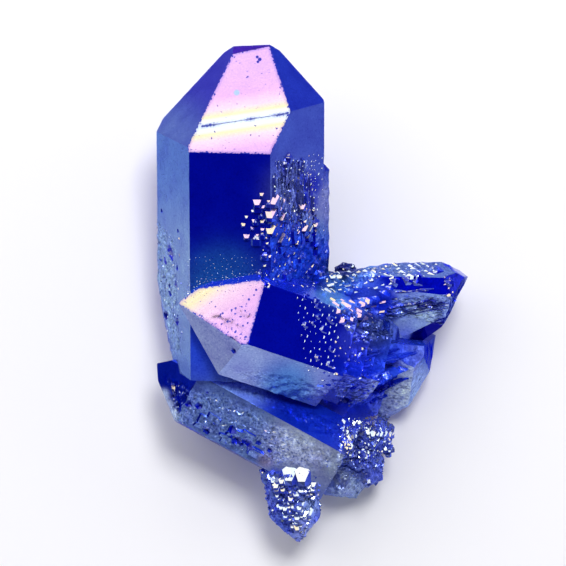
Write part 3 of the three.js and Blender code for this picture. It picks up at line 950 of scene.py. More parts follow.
@dataclass
class ClusterSkin:
    """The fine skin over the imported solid's faces.

    Attributes:
        film: the material that dresses it.
        colours: where the film shows which colour.
        weld: points nearer than this are one point, metres.
        sliver: a triangle thinner than this is dissolved into the next one, metres.
        same_way: least agreement between the normals of the triangles in one facet.
        same_level: how far their corners may stand off its plane, millimetres.
        edge_step: how finely an edge is cut, millimetres.
        under_step: how finely an edge between faces that look down is cut, millimetres.
        grid: how finely a face is cut, millimetres.
        zone_grid: how finely it is cut where growth has left it rough, millimetres.
        under_grid: how finely a face that looks down is cut, millimetres.
        shake: how far the points of a face are shaken, in steps.
        bevel: width of the worn strip along an edge, millimetres.
        clear: how far other points keep off that strip, in steps of the zones' grid.
        wear: how far an edge is worn in, millimetres.
        waves: height and length of the faint waves on every face, millimetres.
        striae: height, width and length of the striae on prism faces, millimetres.
        calm: how far in from its outline a face has its full relief, millimetres.
        sway: how far faces and edges stray from true, millimetres.
        rough_sway: how far more they stray where growth has left them rough, millimetres.
        sway_length: how far apart they stray the same way, millimetres.
        smallest: a face smaller than this keeps only its outline, square millimetres.
        big: a face larger than this is one of the cluster's big faces, square millimetres.
        uneven: a triangle rougher than this flashes by its own way of looking.
        seed: start of the random draws.
        noise_seed: start of the noise that leans the knobs and strays the edges.
        points: the solid's points and those that cut its edges.
        facets: the solid's flat faces.
    """

    film: bpy.types.Material
    colours: FilmMap
    weld: float = 1e-6
    sliver: float = 5e-6
    same_way: float = 0.9999
    same_level: float = 0.003
    edge_step: float = 0.4
    under_step: float = 1.0
    grid: float = 0.3
    zone_grid: float = 0.17
    under_grid: float = 0.9
    shake: float = 0.16
    bevel: float = 0.12
    clear: float = 0.35
    wear: float = 0.045
    waves: tuple[tuple[float, float], ...] = ((0.014, 1.5), (0.03, 5.0))
    striae: tuple[float, float, float] = (0.006, 0.35, 9.0)
    calm: float = 0.45
    sway: float = 0.008
    rough_sway: float = 0.27
    sway_length: float = 1.1
    smallest: float = 0.5
    big: float = 20.0
    uneven: float = 0.5
    seed: int = 5
    noise_seed: int = 1795484423
    points: list[np.ndarray] = field(default_factory=list)
    facets: list[Facet] = field(default_factory=list)

    def welded(self, node: bpy.types.Object) -> tuple[np.ndarray, np.ndarray]:
        """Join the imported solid's loose triangles at their corners.

        Args:
            node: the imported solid.

        Returns:
            Its points in millimetres, and its triangles.
        """
        mesh = bmesh.new()
        mesh.from_mesh(node.data)
        bmesh.ops.remove_doubles(mesh, verts=mesh.verts, dist=self.weld)
        bmesh.ops.dissolve_degenerate(mesh, dist=self.sliver, edges=mesh.edges)
        bmesh.ops.triangulate(mesh, faces=mesh.faces)
        mesh.verts.index_update()
        points = np.array([v.co[:] for v in mesh.verts]) / MM
        triangles = np.array([[v.index for v in f.verts] for f in mesh.faces])
        mesh.free()
        return points, triangles

    def gather_facets(self, points: np.ndarray, triangles: np.ndarray) -> None:
        """Gather the triangles that lie in one plane into facets, and cut their edges finely.

        Args:
            points: the solid's points.
            triangles: its triangles.
        """
        corner = points[triangles]
        cross = np.cross(corner[:, 1] - corner[:, 0], corner[:, 2] - corner[:, 0])
        size, normal = np.linalg.norm(cross, axis=1), unit_rows(cross)
        sharing: dict[tuple[int, int], list[int]] = {}
        for index, triangle in enumerate(triangles):
            for a, b in self.sides(triangle):
                sharing.setdefault((min(a, b), max(a, b)), []).append(index)
        facet_of = np.full(len(triangles), -1)
        beside: dict[int, list[int]] = {}
        for pair in sharing.values():
            for index in pair:
                beside.setdefault(index, []).extend(other for other in pair if other != index)
        seeds = []
        for first in np.argsort(-size, kind="stable"):
            if facet_of[first] >= 0:
                continue
            level = corner[first, 0] @ normal[first]
            facet_of[first] = len(seeds)
            waiting = [first]
            while waiting:
                for other in beside.get(waiting.pop(), []):
                    off = np.abs(corner[other] @ normal[first] - level).max()
                    if facet_of[other] < 0 and off < self.same_level and \
                            normal[other] @ normal[first] > self.same_way:
                        facet_of[other] = len(seeds)
                        waiting.append(other)
            seeds.append(first)
        self.points = list(points)
        chains = self.cut_edges(points, sharing, facet_of, normal)
        outlines: list[list[tuple[int, int]]] = [[] for _ in seeds]
        for index, triangle in enumerate(triangles):
            for a, b in self.sides(triangle):
                chain = chains.get((min(a, b), max(a, b)))
                if chain:
                    run = chain if chain[0] == a else chain[::-1]
                    outlines[facet_of[index]].extend(zip(run[:-1], run[1:]))
        for number, (first, outline) in enumerate(zip(seeds, outlines)):
            ends = np.array(outline)
            self.facets.append(Facet(
                normal[first], corner[first, 0], self.plane_axes(normal[first]),
                ends[:, 0], ends[:, 1], size[facet_of == number].sum() / 2))

    @staticmethod
    def sides(triangle: np.ndarray) -> list[tuple[int, int]]:
        """Give the two ends of each side of a triangle, going round."""
        return list(zip(triangle, np.roll(triangle, -1)))

    def plane_axes(self, normal: np.ndarray) -> np.ndarray:
        """Choose two directions in a face's plane that suit how it grew.

        Args:
            normal: the face's outward normal.

        Returns:
            Two unit rows, across and along the growth axis that lies nearest to the plane.
        """
        axis = min((growth.axes()[2] for growth in POINTS), key=lambda a: abs(a @ normal))
        along = axis - normal * (axis @ normal)
        along /= np.linalg.norm(along)
        return np.array([np.cross(along, normal), along])

    def cut_edges(self, points: np.ndarray, sharing: dict[tuple[int, int], list[int]],
                  facet_of: np.ndarray, normal: np.ndarray) -> dict[tuple[int, int], list[int]]:
        """Cut every edge between two facets into short stretches.

        Args:
            points: the solid's points.
            sharing: the triangles at each edge.
            facet_of: the facet of each triangle.
            normal: the normal of each triangle.

        Returns:
            For each edge between facets, its point numbers in order.
        """
        chains = {}
        for (a, b), pair in sharing.items():
            if len(pair) == 2 and facet_of[pair[0]] == facet_of[pair[1]]:
                continue
            under = all(normal[index][2] < UNDERSIDE for index in pair)
            step = self.under_step if under else self.edge_step
            run = points[b] - points[a]
            cuts = max(1, math.ceil(np.linalg.norm(run) / step))
            chain = [a, *range(len(self.points), len(self.points) + cuts - 1), b]
            self.points += [points[a] + run * (k / cuts) for k in range(1, cuts)]
            chains[(a, b)] = chain
        return chains

    def inner_places(self, facet: Facet, starts: np.ndarray, ends: np.ndarray,
                     rng: np.random.Generator) -> tuple[np.ndarray, np.ndarray]:
        """Spread points over a facet, with a row of them along its edges.

        Args:
            facet: the facet.
            starts: where the stretches of its outline start, in its plane.
            ends: where they end.
            rng: source of the random draws.

        Returns:
            The places in its plane, and how far each is from the outline.
        """
        if facet.area < self.smallest:
            return np.zeros((0, 2)), np.zeros(0)
        run = ends - starts
        inward = unit_rows(np.stack([-run[:, 1], run[:, 0]], axis=1))
        row = (starts + ends) / 2 + inward * self.bevel
        row = row[inside_segments(row, starts, ends)]
        away = distance_to_segments(row, starts, ends) if len(row) else np.zeros(0)
        roomy = away > 0.85 * self.bevel
        row, row_away = row[roomy], away[roomy]
        step = self.under_grid if facet.normal[2] < UNDERSIDE else self.grid
        low, high = np.minimum(starts, ends).min(axis=0), np.maximum(starts, ends).max(axis=0)
        coarse = self.spread(low, high, step, rng)
        parts = [coarse[~self.in_zone(facet, coarse)]]
        if facet.normal[2] > RISING:
            fine = self.spread(low, high, self.zone_grid, rng)
            parts.append(fine[self.in_zone(facet, fine)])
        places = np.concatenate(parts)
        places = places[inside_segments(places, starts, ends)]
        if len(places) == 0:
            return row, row_away
        away = distance_to_segments(places, starts, ends)
        keep = away > self.bevel + self.clear * self.zone_grid
        return np.concatenate([row, places[keep]]), np.concatenate([row_away, away[keep]])

    def spread(self, low: np.ndarray, high: np.ndarray, step: float,
               rng: np.random.Generator) -> np.ndarray:
        """Spread points over a box, in rows that are shifted and shaken a little.

        Args:
            low: the box's lowest corner.
            high: its highest corner.
            step: how far apart the points are.
            rng: source of the random draws.

        Returns:
            The points, one a row.
        """
        columns = np.arange(low[0] + step / 2, high[0], step)
        rows = np.arange(low[1] + step / 2, high[1], step)
        mesh = np.stack(np.meshgrid(columns, rows), axis=-1)
        mesh[1::2, :, 0] += step / 2
        places = mesh.reshape(-1, 2)
        return places + rng.uniform(-self.shake, self.shake, places.shape) * step

    @staticmethod
    def in_zone(facet: Facet, flat: np.ndarray) -> np.ndarray:
        """Tell which places of a facet lie in a zone with a texture of its own.

        Args:
            facet: the facet.
            flat: the places in its plane.

        Returns:
            True for each place in a zone; none of a facet that looks down.
        """
        found = np.zeros(len(flat), dtype=bool)
        if facet.normal[2] > RISING and len(flat):
            for zone in ZONES:
                found |= inside_plan(facet.raised(flat), zone.outline)
        return found

    def fill(self) -> Net:
        """Fill every facet with fine triangles.

        Returns:
            The triangles.
        """
        rng = np.random.default_rng(self.seed)
        edge_points = np.array(self.points)
        count = len(edge_points)
        parts, owners, gaps = [edge_points], [np.full(count, -1)], [np.zeros(count)]
        triangles, facet_of = [], []
        for number, facet in enumerate(self.facets):
            names, where = np.unique(
                np.concatenate([facet.starts, facet.ends]), return_inverse=True)
            flat = facet.flat(edge_points[names])
            half = len(facet.starts)
            inner, away = self.inner_places(facet, flat[where[:half]], flat[where[half:]], rng)
            every = np.concatenate([flat, inner])
            outline = list(zip(where[:half].tolist(), where[half:].tolist()))
            found = delaunay_2d_cdt([Vector(p) for p in every.tolist()], outline, [], 0, 1e-7)
            origin = np.array([source[0] if source else -1 for source in found[3]])
            if len(found[0]) != len(every):
                log.warning("facet %d: %d points became %d", number, len(every), len(found[0]))
            faces = self.within(origin[np.array(found[2])], set(outline))
            numbering = np.concatenate([names, np.arange(count, count + len(inner))])
            triangles.append(numbering[faces])
            facet_of.append(np.full(len(faces), number))
            parts.append(facet.raised(inner))
            owners.append(np.full(len(inner), number))
            gaps.append(away)
            count += len(inner)
        normals = [np.tile(f.normal, (len(part), 1)) for f, part in zip(self.facets, facet_of)]
        return Net(*(np.concatenate(part)
                     for part in (parts, owners, gaps, triangles, facet_of, normals)))

    @staticmethod
    def within(faces: np.ndarray, outline: set[tuple[int, int]]) -> np.ndarray:
        """Keep the triangles that the outline holds on its left.

        Args:
            faces: triangles, each counted anticlockwise.
            outline: the outline's stretches, with the facet on their left.

        Returns:
            The triangles inside.
        """
        left_of = {}
        for index, (a, b, c) in enumerate(faces.tolist()):
            left_of[a, b] = left_of[b, c] = left_of[c, a] = index
        waiting = [left_of[stretch] for stretch in outline if stretch in left_of]
        missing = len(outline) - len(waiting)
        if missing:
            log.warning("an outline of %d stretches misses %d", len(outline), missing)
        kept = set(waiting)
        while waiting:
            a, b, c = faces[waiting.pop()].tolist()
            for side in ((a, b), (b, c), (c, a)):
                other = left_of.get((side[1], side[0]))
                if side not in outline and other is not None and other not in kept:
                    kept.add(other)
                    waiting.append(other)
        return faces[sorted(kept)]

    @staticmethod
    def roughness(points: np.ndarray, upward: np.ndarray | float) -> np.ndarray:
        """Give the share of roughness at each point, by the upward share of its normal."""
        shares = [zone.level * zone.share(points) * (upward > RISING) for zone in ZONES]
        return np.max(shares, axis=0)

    def relief(self, net: Net, normals: np.ndarray) -> tuple[np.ndarray, np.ndarray]:
        """Work out how far growth has raised or sunk each point of the faces.

        Args:
            net: the skin's triangles.
            normals: the normal of each point's facet.

        Returns:
            The height of each point over its facet, and the painted highlight and shade of the
            rough texture there: above 0 on its bumps, below 0 in its hollows.
        """
        height, tone = np.zeros(len(net.points)), np.zeros(len(net.points))
        faces = net.owners >= 0
        for index in np.flatnonzero(faces):
            place = Vector(net.points[index])
            height[index] = sum(high * noise.noise(place / long) for high, long in self.waves)
        high, wide, long = self.striae
        for growth in POINTS:
            sides = np.array([growth.prism(k) for k in range(6)])
            on_prism = faces & ((normals @ sides.T).max(axis=1) > SAME_FACE)
            for index in np.flatnonzero(on_prism):
                point = net.points[index]
                along = float(point @ growth.axes()[2])
                height[index] += high * noise.noise(Vector((along / wide, 0.0, point[0] / long)))
        fade = smoothstep(0.0, self.calm, net.gaps)
        height *= fade
        for zone in ZONES:
            share = zone.share(net.points) * (normals[:, 2] > RISING) * faces
            there = np.flatnonzero(share > 0)
            bump = zone.bumps(net.points[there])
            # painted highlight on the bumps and painted shade in the hollows of rough growth
            tone[there] += zone.contrast * bump * share[there]
            height[there] += zone.height * bump * share[there] * fade[there]
        return height, tone

    def stray(self, points: np.ndarray) -> np.ndarray:
        """Work out how faces and edges stray from true, most of all in the rough zones.

        Args:
            points: the points.

        Returns:
            The move of each point, none on the table.
        """
        reach = self.sway + self.rough_sway * self.roughness(points, 1.0)
        reach *= smoothstep(0.0, FOOT, points[:, 2])
        aims = np.array([noise.noise_vector(Vector(p) / self.sway_length)[:] for p in points])
        return reach[:, None] * aims

    def edge_wear(self, net: Net) -> np.ndarray:
        """Work out how the edges between the faces are worn.

        Args:
            net: the skin's triangles.

        Returns:
            The move of each point, zero away from the edges.
        """
        count = len(net.points)
        total, reach = np.zeros((count, 3)), np.full(count, np.inf)
        for facet in self.facets:
            names = np.unique(facet.starts)
            total[names] += facet.normal
            reach[names] = np.minimum(reach[names], math.sqrt(facet.area))
        out = unit_rows(total)
        centre, seen = np.zeros((count, 3)), np.zeros(count)
        for corner in range(3):
            np.add.at(centre, net.triangles[:, corner], net.points[net.triangles].mean(axis=1))
            np.add.at(seen, net.triangles[:, corner], 1.0)
        centre /= np.maximum(seen, 1.0)[:, None]
        bulge = ((net.points - centre) * out).sum(axis=1)
        move = np.zeros((count, 3))
        for index in np.flatnonzero((net.owners < 0) & (bulge >= 0.01)):
            place = Vector(net.points[index])
            chip = max(0.0, noise.noise(place / 0.9) - 0.25) * 2.0
            depth = self.wear * (0.8 + 0.5 * noise.noise(place / 0.5) + chip)
            move[index] = -out[index] * min(depth, 0.12 * reach[index], 0.6 * bulge[index])
        return move

    def build(self, node: bpy.types.Object) -> tuple[bpy.types.Object, Net]:
        """Make the skin and dress it.

        Args:
            node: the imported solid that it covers.

        Returns:
            The skin's object, and its triangles before they are textured.
        """
        noise.seed_set(self.noise_seed)
        self.gather_facets(*self.welded(node))
        net = self.fill()
        normals = np.array([facet.normal for facet in self.facets])
        areas = np.array([facet.area for facet in self.facets])
        height, tone = self.relief(net, normals[net.owners])
        moved = net.points + self.edge_wear(net) + self.stray(net.points)
        on_face = net.owners >= 0
        moved[on_face] += normals[net.owners[on_face]] * height[on_face, None]
        skin = mesh_object("quartz_skin", moved, net.triangles)
        rough = self.roughness(net.points, np.where(on_face, normals[net.owners, 2], 1.0))
        corner = moved[net.triangles]
        looks = unit_rows(np.cross(corner[:, 1] - corner[:, 0], corner[:, 2] - corner[:, 0]))
        uneven = rough[net.triangles].min(axis=1) > self.uneven
        dress(skin, self.film, self.colours, Coat(
            normals=net.normals, glints=np.where(uneven[:, None], looks, net.normals),
            big=areas[net.facets] > self.big, rough=rough, tone=tone,
            gap=np.where(on_face, np.minimum(net.gaps, INSIDE), 0.0)))
        return skin, net


@dataclass(frozen=True)
class Coat:
    """What the film needs to know of a piece besides its faces.

    Attributes:
        normals: the faces' ideal normals, or None to take them from the mesh.
        glints: the normals that tell where the faces flash, or None where they are the same.
        big: True for each triangle of a big crystal face, or None where there is none.
        rough: how rough the surface is at each point, or None where it is smooth.
        tone: the painted highlight on the rough texture's bumps and the painted shade in its
            hollows, at each point, or None where there is none.
        gap: each point's distance from its face's edge, millimetres, or None for well inside.
        order: the film's usual place in the order of colours on small flashing faces.
        contrast: how far neighbouring small crystals differ in colour.
        order_waves: how far that place varies, and over what length, millimetres.
        tone_grain: how wide the patches of one shade are on small crystals, millimetres.
        shades: the darkest and the lightest shade.
        flash_metal: how strongly a flashing face mirrors.
    """

    normals: np.ndarray | None = None
    glints: np.ndarray | None = None
    big: np.ndarray | None = None
    rough: np.ndarray | None = None
    tone: np.ndarray | None = None
    gap: np.ndarray | None = None
    order: float = 0.08
    contrast: float = 0.0
    order_waves: tuple[float, float] = (0.25, 1.3)
    tone_grain: float = 0.45
    shades: tuple[float, float] = (0.2, 2.2)
    flash_metal: float = 0.85


def dress(piece: bpy.types.Object, film: bpy.types.Material, colours: FilmMap, coat: Coat) -> None:
    """Coat a piece with the film and write the film's maps on it.

    Args:
        piece: the piece.
        film: the film's material.
        colours: where the film shows which colour.
        coat: what the film needs to know of the piece.
    """
    mesh = piece.data
    mesh.shade_smooth()
    mesh.set_sharp_from_angle(angle=math.radians(CREASE))
    mesh.materials.clear()
    mesh.materials.append(film)
    normals = coat.normals
    if normals is None:
        normals = read_all(mesh.polygons, "normal", float, 3)
    loops = read_all(mesh.loops, "vertex_index", int, 1)[:, 0]
    totals = read_all(mesh.polygons, "loop_total", int, 1)[:, 0]
    owner = np.repeat(np.arange(len(totals)), totals)
    places = read_all(mesh.vertices, "co", float, 3)[loops] / MM
    body, metal = colours.body(normals[owner], places)
    # painted highlight: marks the faces that mirror the window towards the viewer; they take the
    # pale flash colours and more metal
    flash = colours.flash(normals if coat.glints is None else coat.glints)[owner]
    spots = [Vector(p) for p in places[np.cumsum(totals) - 1]]
    most, length = coat.order_waves
    order = coat.order + np.array([most * noise.noise(p / length) for p in spots])
    order = np.clip(order, 0.0, 1.0)[owner]
    # painted highlight: bands of flash colour across the two big flashing faces
    if coat.big is not None:
        for aim, bands in HIGHLIGHT_BANDS:
            banded = (coat.big & (normals @ aim > SAME_FACE))[owner]
            order[banded] = bands.order(places[banded])
    shade = np.ones(len(owner))
    if coat.contrast:
        tones = np.array([2.0 * noise.noise(p / coat.tone_grain) for p in spots])
        shade += coat.contrast * tones[owner]
    # painted highlight and painted shade: bumps of rough growth lighter, hollows darker
    if coat.tone is not None:
        shade += coat.tone[loops]
    body *= np.clip(shade, *coat.shades)[:, None]
    # painted highlight: crests of rough growth blend to a pale colour
    if coat.tone is not None:
        crest = CREST_HIGHLIGHT_SHARE * smoothstep(*CREST_HIGHLIGHT_LEVELS, coat.tone[loops])[:, None]
        body = body * (1.0 - crest) + crest * np.array(CREST_HIGHLIGHT)
    maps = {"metal": np.maximum(metal, coat.flash_metal * flash), "flash": flash, "order": order}
    for name, values, missing in (("rough", coat.rough, 0.0), ("gap", coat.gap, INSIDE)):
        maps[name] = np.full(len(loops), missing) if values is None else values[loops]
    for name, values in maps.items():
        layer = mesh.attributes.new(f"film_{name}", "FLOAT", "CORNER")
        layer.data.foreach_set("value", values.astype(np.float32))
    layer = mesh.attributes.new("film_body", "FLOAT_COLOR", "CORNER")
    colour = np.column_stack([np.minimum(body, 1.0), np.ones(len(owner))])
    layer.data.foreach_set("color", colour.astype(np.float32).ravel())


@dataclass(frozen=True)
class CrystalField:
    """A field of small crystals that stand out of the skin.

    Attributes:
        name: the piece's name.
        outline: corners of the field in plan, millimetres.
        growth: the crystal whose axes they share, or None for druse, which stands up.
        spacing: how far apart they stand at least, millimetres.
        width: smallest and largest half width, millimetres.
        seed: start of the random draws.
        stretch: how many times longer than a regular crystal they are.
        wander: how far each is turned from its axes, degrees.
        sunk: how deep each sits in the skin, in half widths.
        broad: how many times broader than a regular crystal they are, across their top face.
        uneven: how far their proportions vary.
        order: the film's usual place in the order of colours where they flash.
        steepest: the least upward share of the skin's normal where they stand.
        contrast: how far neighbouring crystals differ in colour.
    """

    name: str
    outline: Plan
    growth: Growth | None
    spacing: float
    width: tuple[float, float]
    seed: int
    stretch: float = 1.0
    wander: float = 4.0
    sunk: float = 0.4
    broad: float = 1.0
    uneven: float = 1.0
    order: float = 0.16
    steepest: float = 0.2
    contrast: float = 0.6


# painted highlight: the faces of these crystals that line up with the two big flashing faces take
# the pale flash colours
FIELDS = (
    CrystalField("main_streaks", (
        (-5.4, 18.4), (-0.9, 18.9), (-0.3, 13.6), (-0.9, 11.0), (-3.6, 10.6), (-5.2, 13.1)),
        MAIN, 0.40, (0.05, 0.17), 3, 4.4),
    CrystalField("main_specks", (
        (-5.2, 18.6), (0.2, 19.0), (0.8, 9.4), (-3.8, 8.6), (-5.2, 13.1)),
        MAIN, 0.6, (0.05, 0.17), 22, uneven=0.2, order=0.06),
    CrystalField("main_flashes", (
        (-6.8, 14.4), (-3.9, 13.4), (-3.2, 8.4), (-8.9, 8.2), (-9.8, 10.4)),
        MAIN, 1.05, (0.26, 0.95), 4, 1.0, 6.0, 0.36, uneven=0.3, order=0.28),
    CrystalField("companion_flashes", ((-2.0, 12.6), (0.4, 12.6), (0.6, 9.4), (-2.0, 9.0)),
                 MAIN, 0.8, (0.2, 0.62), 16, 1.0, 6.0, 0.36, uneven=0.3, order=0.25),
    CrystalField("main_dots", ((-0.9, 20.2), (1.9, 20.0), (1.9, 12.4), (-0.9, 16.4)),
                 MAIN, 0.95, (0.07, 0.22), 17, uneven=0.2, order=0.05),
    CrystalField("main_foot", (
        (-7.0, 7.6), (-2.0, 8.4), (2.2, 10.0), (2.0, 1.2), (-6.3, 1.8)),
        MAIN, 1.2, (0.08, 0.34), 13, sunk=0.5, uneven=0.2),
    CrystalField("main_dust", (
        (-17.4, 5.2), (-12.0, 6.0), (-6.4, 5.6), (-6.6, 1.8), (-17.4, 0.6)),
        MAIN, 0.5, (0.03, 0.10), 14, 0.8, 12.0, order=0.0),
    CrystalField("main_fringe", (
        (-17.4, 2.0), (-12.0, 3.2), (-6.6, 3.6), (-6.6, 1.4), (-17.4, 0.0)),
        MAIN, 0.3, (0.04, 0.11), 18, 0.8, 14.0, order=0.0),
    CrystalField("second_dashes", ((-2.6, 0.4), (3.6, -1.4), (3.0, -10.6), (-0.8, -10.2)),
                 SECOND, 0.75, (0.04, 0.11), 5, 1.0, 3.0, 0.3, 2.6, 0.2, 0.03),
    CrystalField("slab_flashes", (
        (0.8, 3.6), (8.0, 4.8), (17.4, 4.6), (16.4, 3.0), (12.0, 2.4), (6.0, 0.6), (1.2, 1.0)),
        SECOND, 0.85, (0.12, 0.66), 6, 1.0, 6.0, uneven=0.3, order=0.04),
    CrystalField("slab_tips", ((2.4, -0.2), (9.8, -0.4), (9.4, -2.6), (3.6, -3.4)),
                 SECOND, 1.3, (0.5, 1.05), 19, 1.0, 5.0, uneven=0.2, order=0.3),
    CrystalField("slab_corner", ((18.2, 2.8), (19.7, 2.5), (19.5, 0.2), (18.4, 0.0)),
                 SECOND, 0.75, (0.12, 0.32), 20, 1.0, 5.0, uneven=0.2, order=0.2),
    CrystalField("gap_crystals", (
        (3.0, -5.6), (7.6, -6.4), (8.4, -12.6), (4.4, -17.0), (0.6, -12.2)),
        SECOND, 1.0, (0.08, 0.34), 7, 1.2, 16.0),
    CrystalField("druse_points", (
        (3.4, -17.6), (11.4, -17.4), (11.8, -23.4), (8.4, -27.8), (4.4, -24.0)),
        None, 0.8, (0.24, 0.6), 15, 0.8, 36.0, 0.6, order=0.05, steepest=-0.1),
    CrystalField("druse_glints", (
        (4.0, -17.2), (11.4, -17.0), (11.6, -22.8), (8.6, -24.0), (4.8, -22.4)),
        MAIN, 0.55, (0.12, 0.46), 23, 1.0, 6.0, 0.1, uneven=0.2, order=0.03),
    CrystalField("druse", (
        (3.8, -18.0), (11.4, -17.8), (11.6, -23.4), (8.4, -27.4), (4.4, -24.0)),
        None, 0.36, (0.08, 0.30), 8, 0.8, 38.0, 0.2, order=0.05, steepest=0.0),
    CrystalField("root_druse", ((1.0, -23.6), (8.6, -24.0), (9.0, -28.6), (2.0, -29.0)),
                 None, 0.9, (0.08, 0.26), 9, 0.7, 30.0, 0.3, steepest=0.1),
    CrystalField("bottom_blocks", (
        (-3.3, -24.5), (-2.9, -24.5), (-2.9, -24.1), (-1.7, -24.1), (-1.7, -24.5), (-1.3, -24.5),
        (-1.3, -24.1), (-3.3, -24.1)),
        MAIN, 1.0, (1.15, 1.3), 8, 1.0, 0.8, -0.15, uneven=0.05, order=0.03),
    CrystalField("bottom_glints", (
        (-5.6, -25.4), (0.2, -25.8), (0.2, -30.6), (-1.4, -33.4), (-4.2, -30.6)),
        MAIN, 0.46, (0.24, 0.64), 24, 1.0, 7.0, 0.12, uneven=0.3, order=0.03),
    CrystalField("bottom_crystals", (
        (-7.4, -24.4), (0.8, -25.4), (1.4, -30.2), (-1.9, -35.2), (-6.0, -31.0)),
        BOTTOM, 0.5, (0.12, 0.42), 10, 0.8, 50.0, order=0.05),
    CrystalField("lower_grit", (
        (-20.6, -11.4), (-16.6, -12.0), (-8.6, -14.6), (-3.6, -18.2), (-3.4, -24.0),
        (-19.8, -17.4)), LOWER, 0.95, (0.03, 0.15), 11, 1.0, 30.0, 0.5, order=0.05),
    CrystalField("main_left", ((-22.4, 10.6), (-18.2, 8.0), (-17.6, -6.0), (-22.0, -6.0)),
                 MAIN, 1.1, (0.04, 0.18), 12, 1.2, 18.0, order=0.05),
)


@dataclass(frozen=True)
class Spread:
    """How the crystals of a field differ.

    Attributes:
        small: power of the draws of size; the higher, the more crystals are small.
        flat: how far a fully uneven field's crystals differ in thickness.
        long: how far they differ in length.
    """

    small: float = 2.2
    flat: float = 0.22
    long: float = 0.35


class FieldTree(Sheet):
    """The geometry nodes that grow a field of small crystals.

    Attributes:
        given: the field's inputs.
    """

    inputs = {
        "Geometry": ("Geometry",), "Object": ("Crystal",), "Material": ("Film",),
        "Float": ("Spacing", "Density", "Narrow", "Wide", "Stretch", "Broad", "Uneven", "Wander",
                  "Sunk"), "Vector": ("Heading",), "Bool": ("Upright",), "Int": ("Seed",)}

    def __init__(self, tree: bpy.types.NodeTree, spread: Spread = Spread()) -> None:
        """Build the nodes.

        Args:
            tree: the tree that they fill.
            spread: how the crystals differ.
        """
        super().__init__(tree)
        tree.interface.new_socket("Geometry", in_out="OUTPUT", socket_type="NodeSocketGeometry")
        for kind, names in self.inputs.items():
            for name in names:
                tree.interface.new_socket(name, in_out="INPUT", socket_type=f"NodeSocket{kind}")
        self.given = given = self.node("NodeGroupInput").outputs
        scatter = self.node("GeometryNodeDistributePointsOnFaces", {
            "Mesh": given["Geometry"], "Distance Min": given["Spacing"],
            "Density Max": given["Density"], "Seed": given["Seed"]},
            distribute_method="POISSON").outputs
        size = self.calculate("POWER", self.draw(0.0, 1.0, 1), spread.small)
        size = self.product(size, self.calculate("SUBTRACT", given["Wide"], given["Narrow"]))
        size = self.calculate("ADD", size, given["Narrow"])
        length = self.product(size, given["Stretch"])
        scale = self.node("ShaderNodeCombineXYZ", {
            0: self.product(size, self.times(spread.flat, 3)),
            1: self.product(size, given["Broad"]),
            2: self.product(length, self.times(spread.long, 2))}).outputs[0]
        depth = self.product(size, self.product(given["Sunk"], -1.0))
        inward = self.node("ShaderNodeVectorMath", {0: scatter["Normal"], "Scale": depth},
                           operation="SCALE").outputs[0]
        seated = self.node("GeometryNodeSetPosition", {
            "Geometry": scatter["Points"], "Offset": inward}).outputs[0]
        crystal = self.node("GeometryNodeObjectInfo", {"Object": given["Crystal"]})
        placed = self.node("GeometryNodeInstanceOnPoints", {
            "Points": seated, "Scale": scale, "Instance": crystal.outputs["Geometry"],
            "Rotation": self.turn(scatter["Normal"])}).outputs[0]
        realized = self.node("GeometryNodeRealizeInstances", {0: placed}).outputs[0]
        coated = self.node("GeometryNodeSetMaterial", {
            "Geometry": realized, "Material": given["Film"]}).outputs[0]
        self.node("NodeGroupOutput", {"Geometry": coated})

    def draw(self, low: float, high: float, shift: int) -> Socket:
        """Draw a random value for each crystal.

        Args:
            low: the lowest value.
            high: the highest value.
            shift: what keeps this draw apart from the others.

        Returns:
            The value.
        """
        start = self.calculate("ADD", self.given["Seed"], float(shift))
        return self.node("FunctionNodeRandomValue", {2: low, 3: high, "Seed": start},
                         data_type="FLOAT").outputs[1]

    def times(self, most: float, shift: int) -> Socket:
        """Draw how many times longer than usual each crystal is, at most so far from 1."""
        change = self.product(self.draw(-most, most, shift), self.given["Uneven"])
        return self.calculate("ADD", change, 1.0)

    def turn(self, normal: Socket) -> Socket:
        """Turn each crystal to its field's heading, or upright, and let it wander.

        Args:
            normal: the surface's normal where the crystal stands.

        Returns:
            The turn.
        """
        heading = self.node("FunctionNodeEulerToRotation", {0: self.given["Heading"]}).outputs[0]
        upright = self.node("FunctionNodeAlignRotationToVector", {"Vector": normal}).outputs[0]
        chosen = self.node("GeometryNodeSwitch", input_type="ROTATION")
        self.feed(chosen, {"Switch": self.given["Upright"], "False": heading, "True": upright})
        draws = {axis: self.draw(-1.0, 1.0, 4 + axis) for axis in range(3)}
        lean = self.node("ShaderNodeVectorMath", {
            0: self.node("ShaderNodeCombineXYZ", draws).outputs[0],
            "Scale": self.given["Wander"]}, operation="SCALE").outputs[0]
        leaning = self.node("FunctionNodeEulerToRotation", {0: lean}).outputs[0]
        return self.node("FunctionNodeRotateRotation", {0: chosen.outputs[0], 1: leaning},
                         rotation_space="LOCAL").outputs[0]


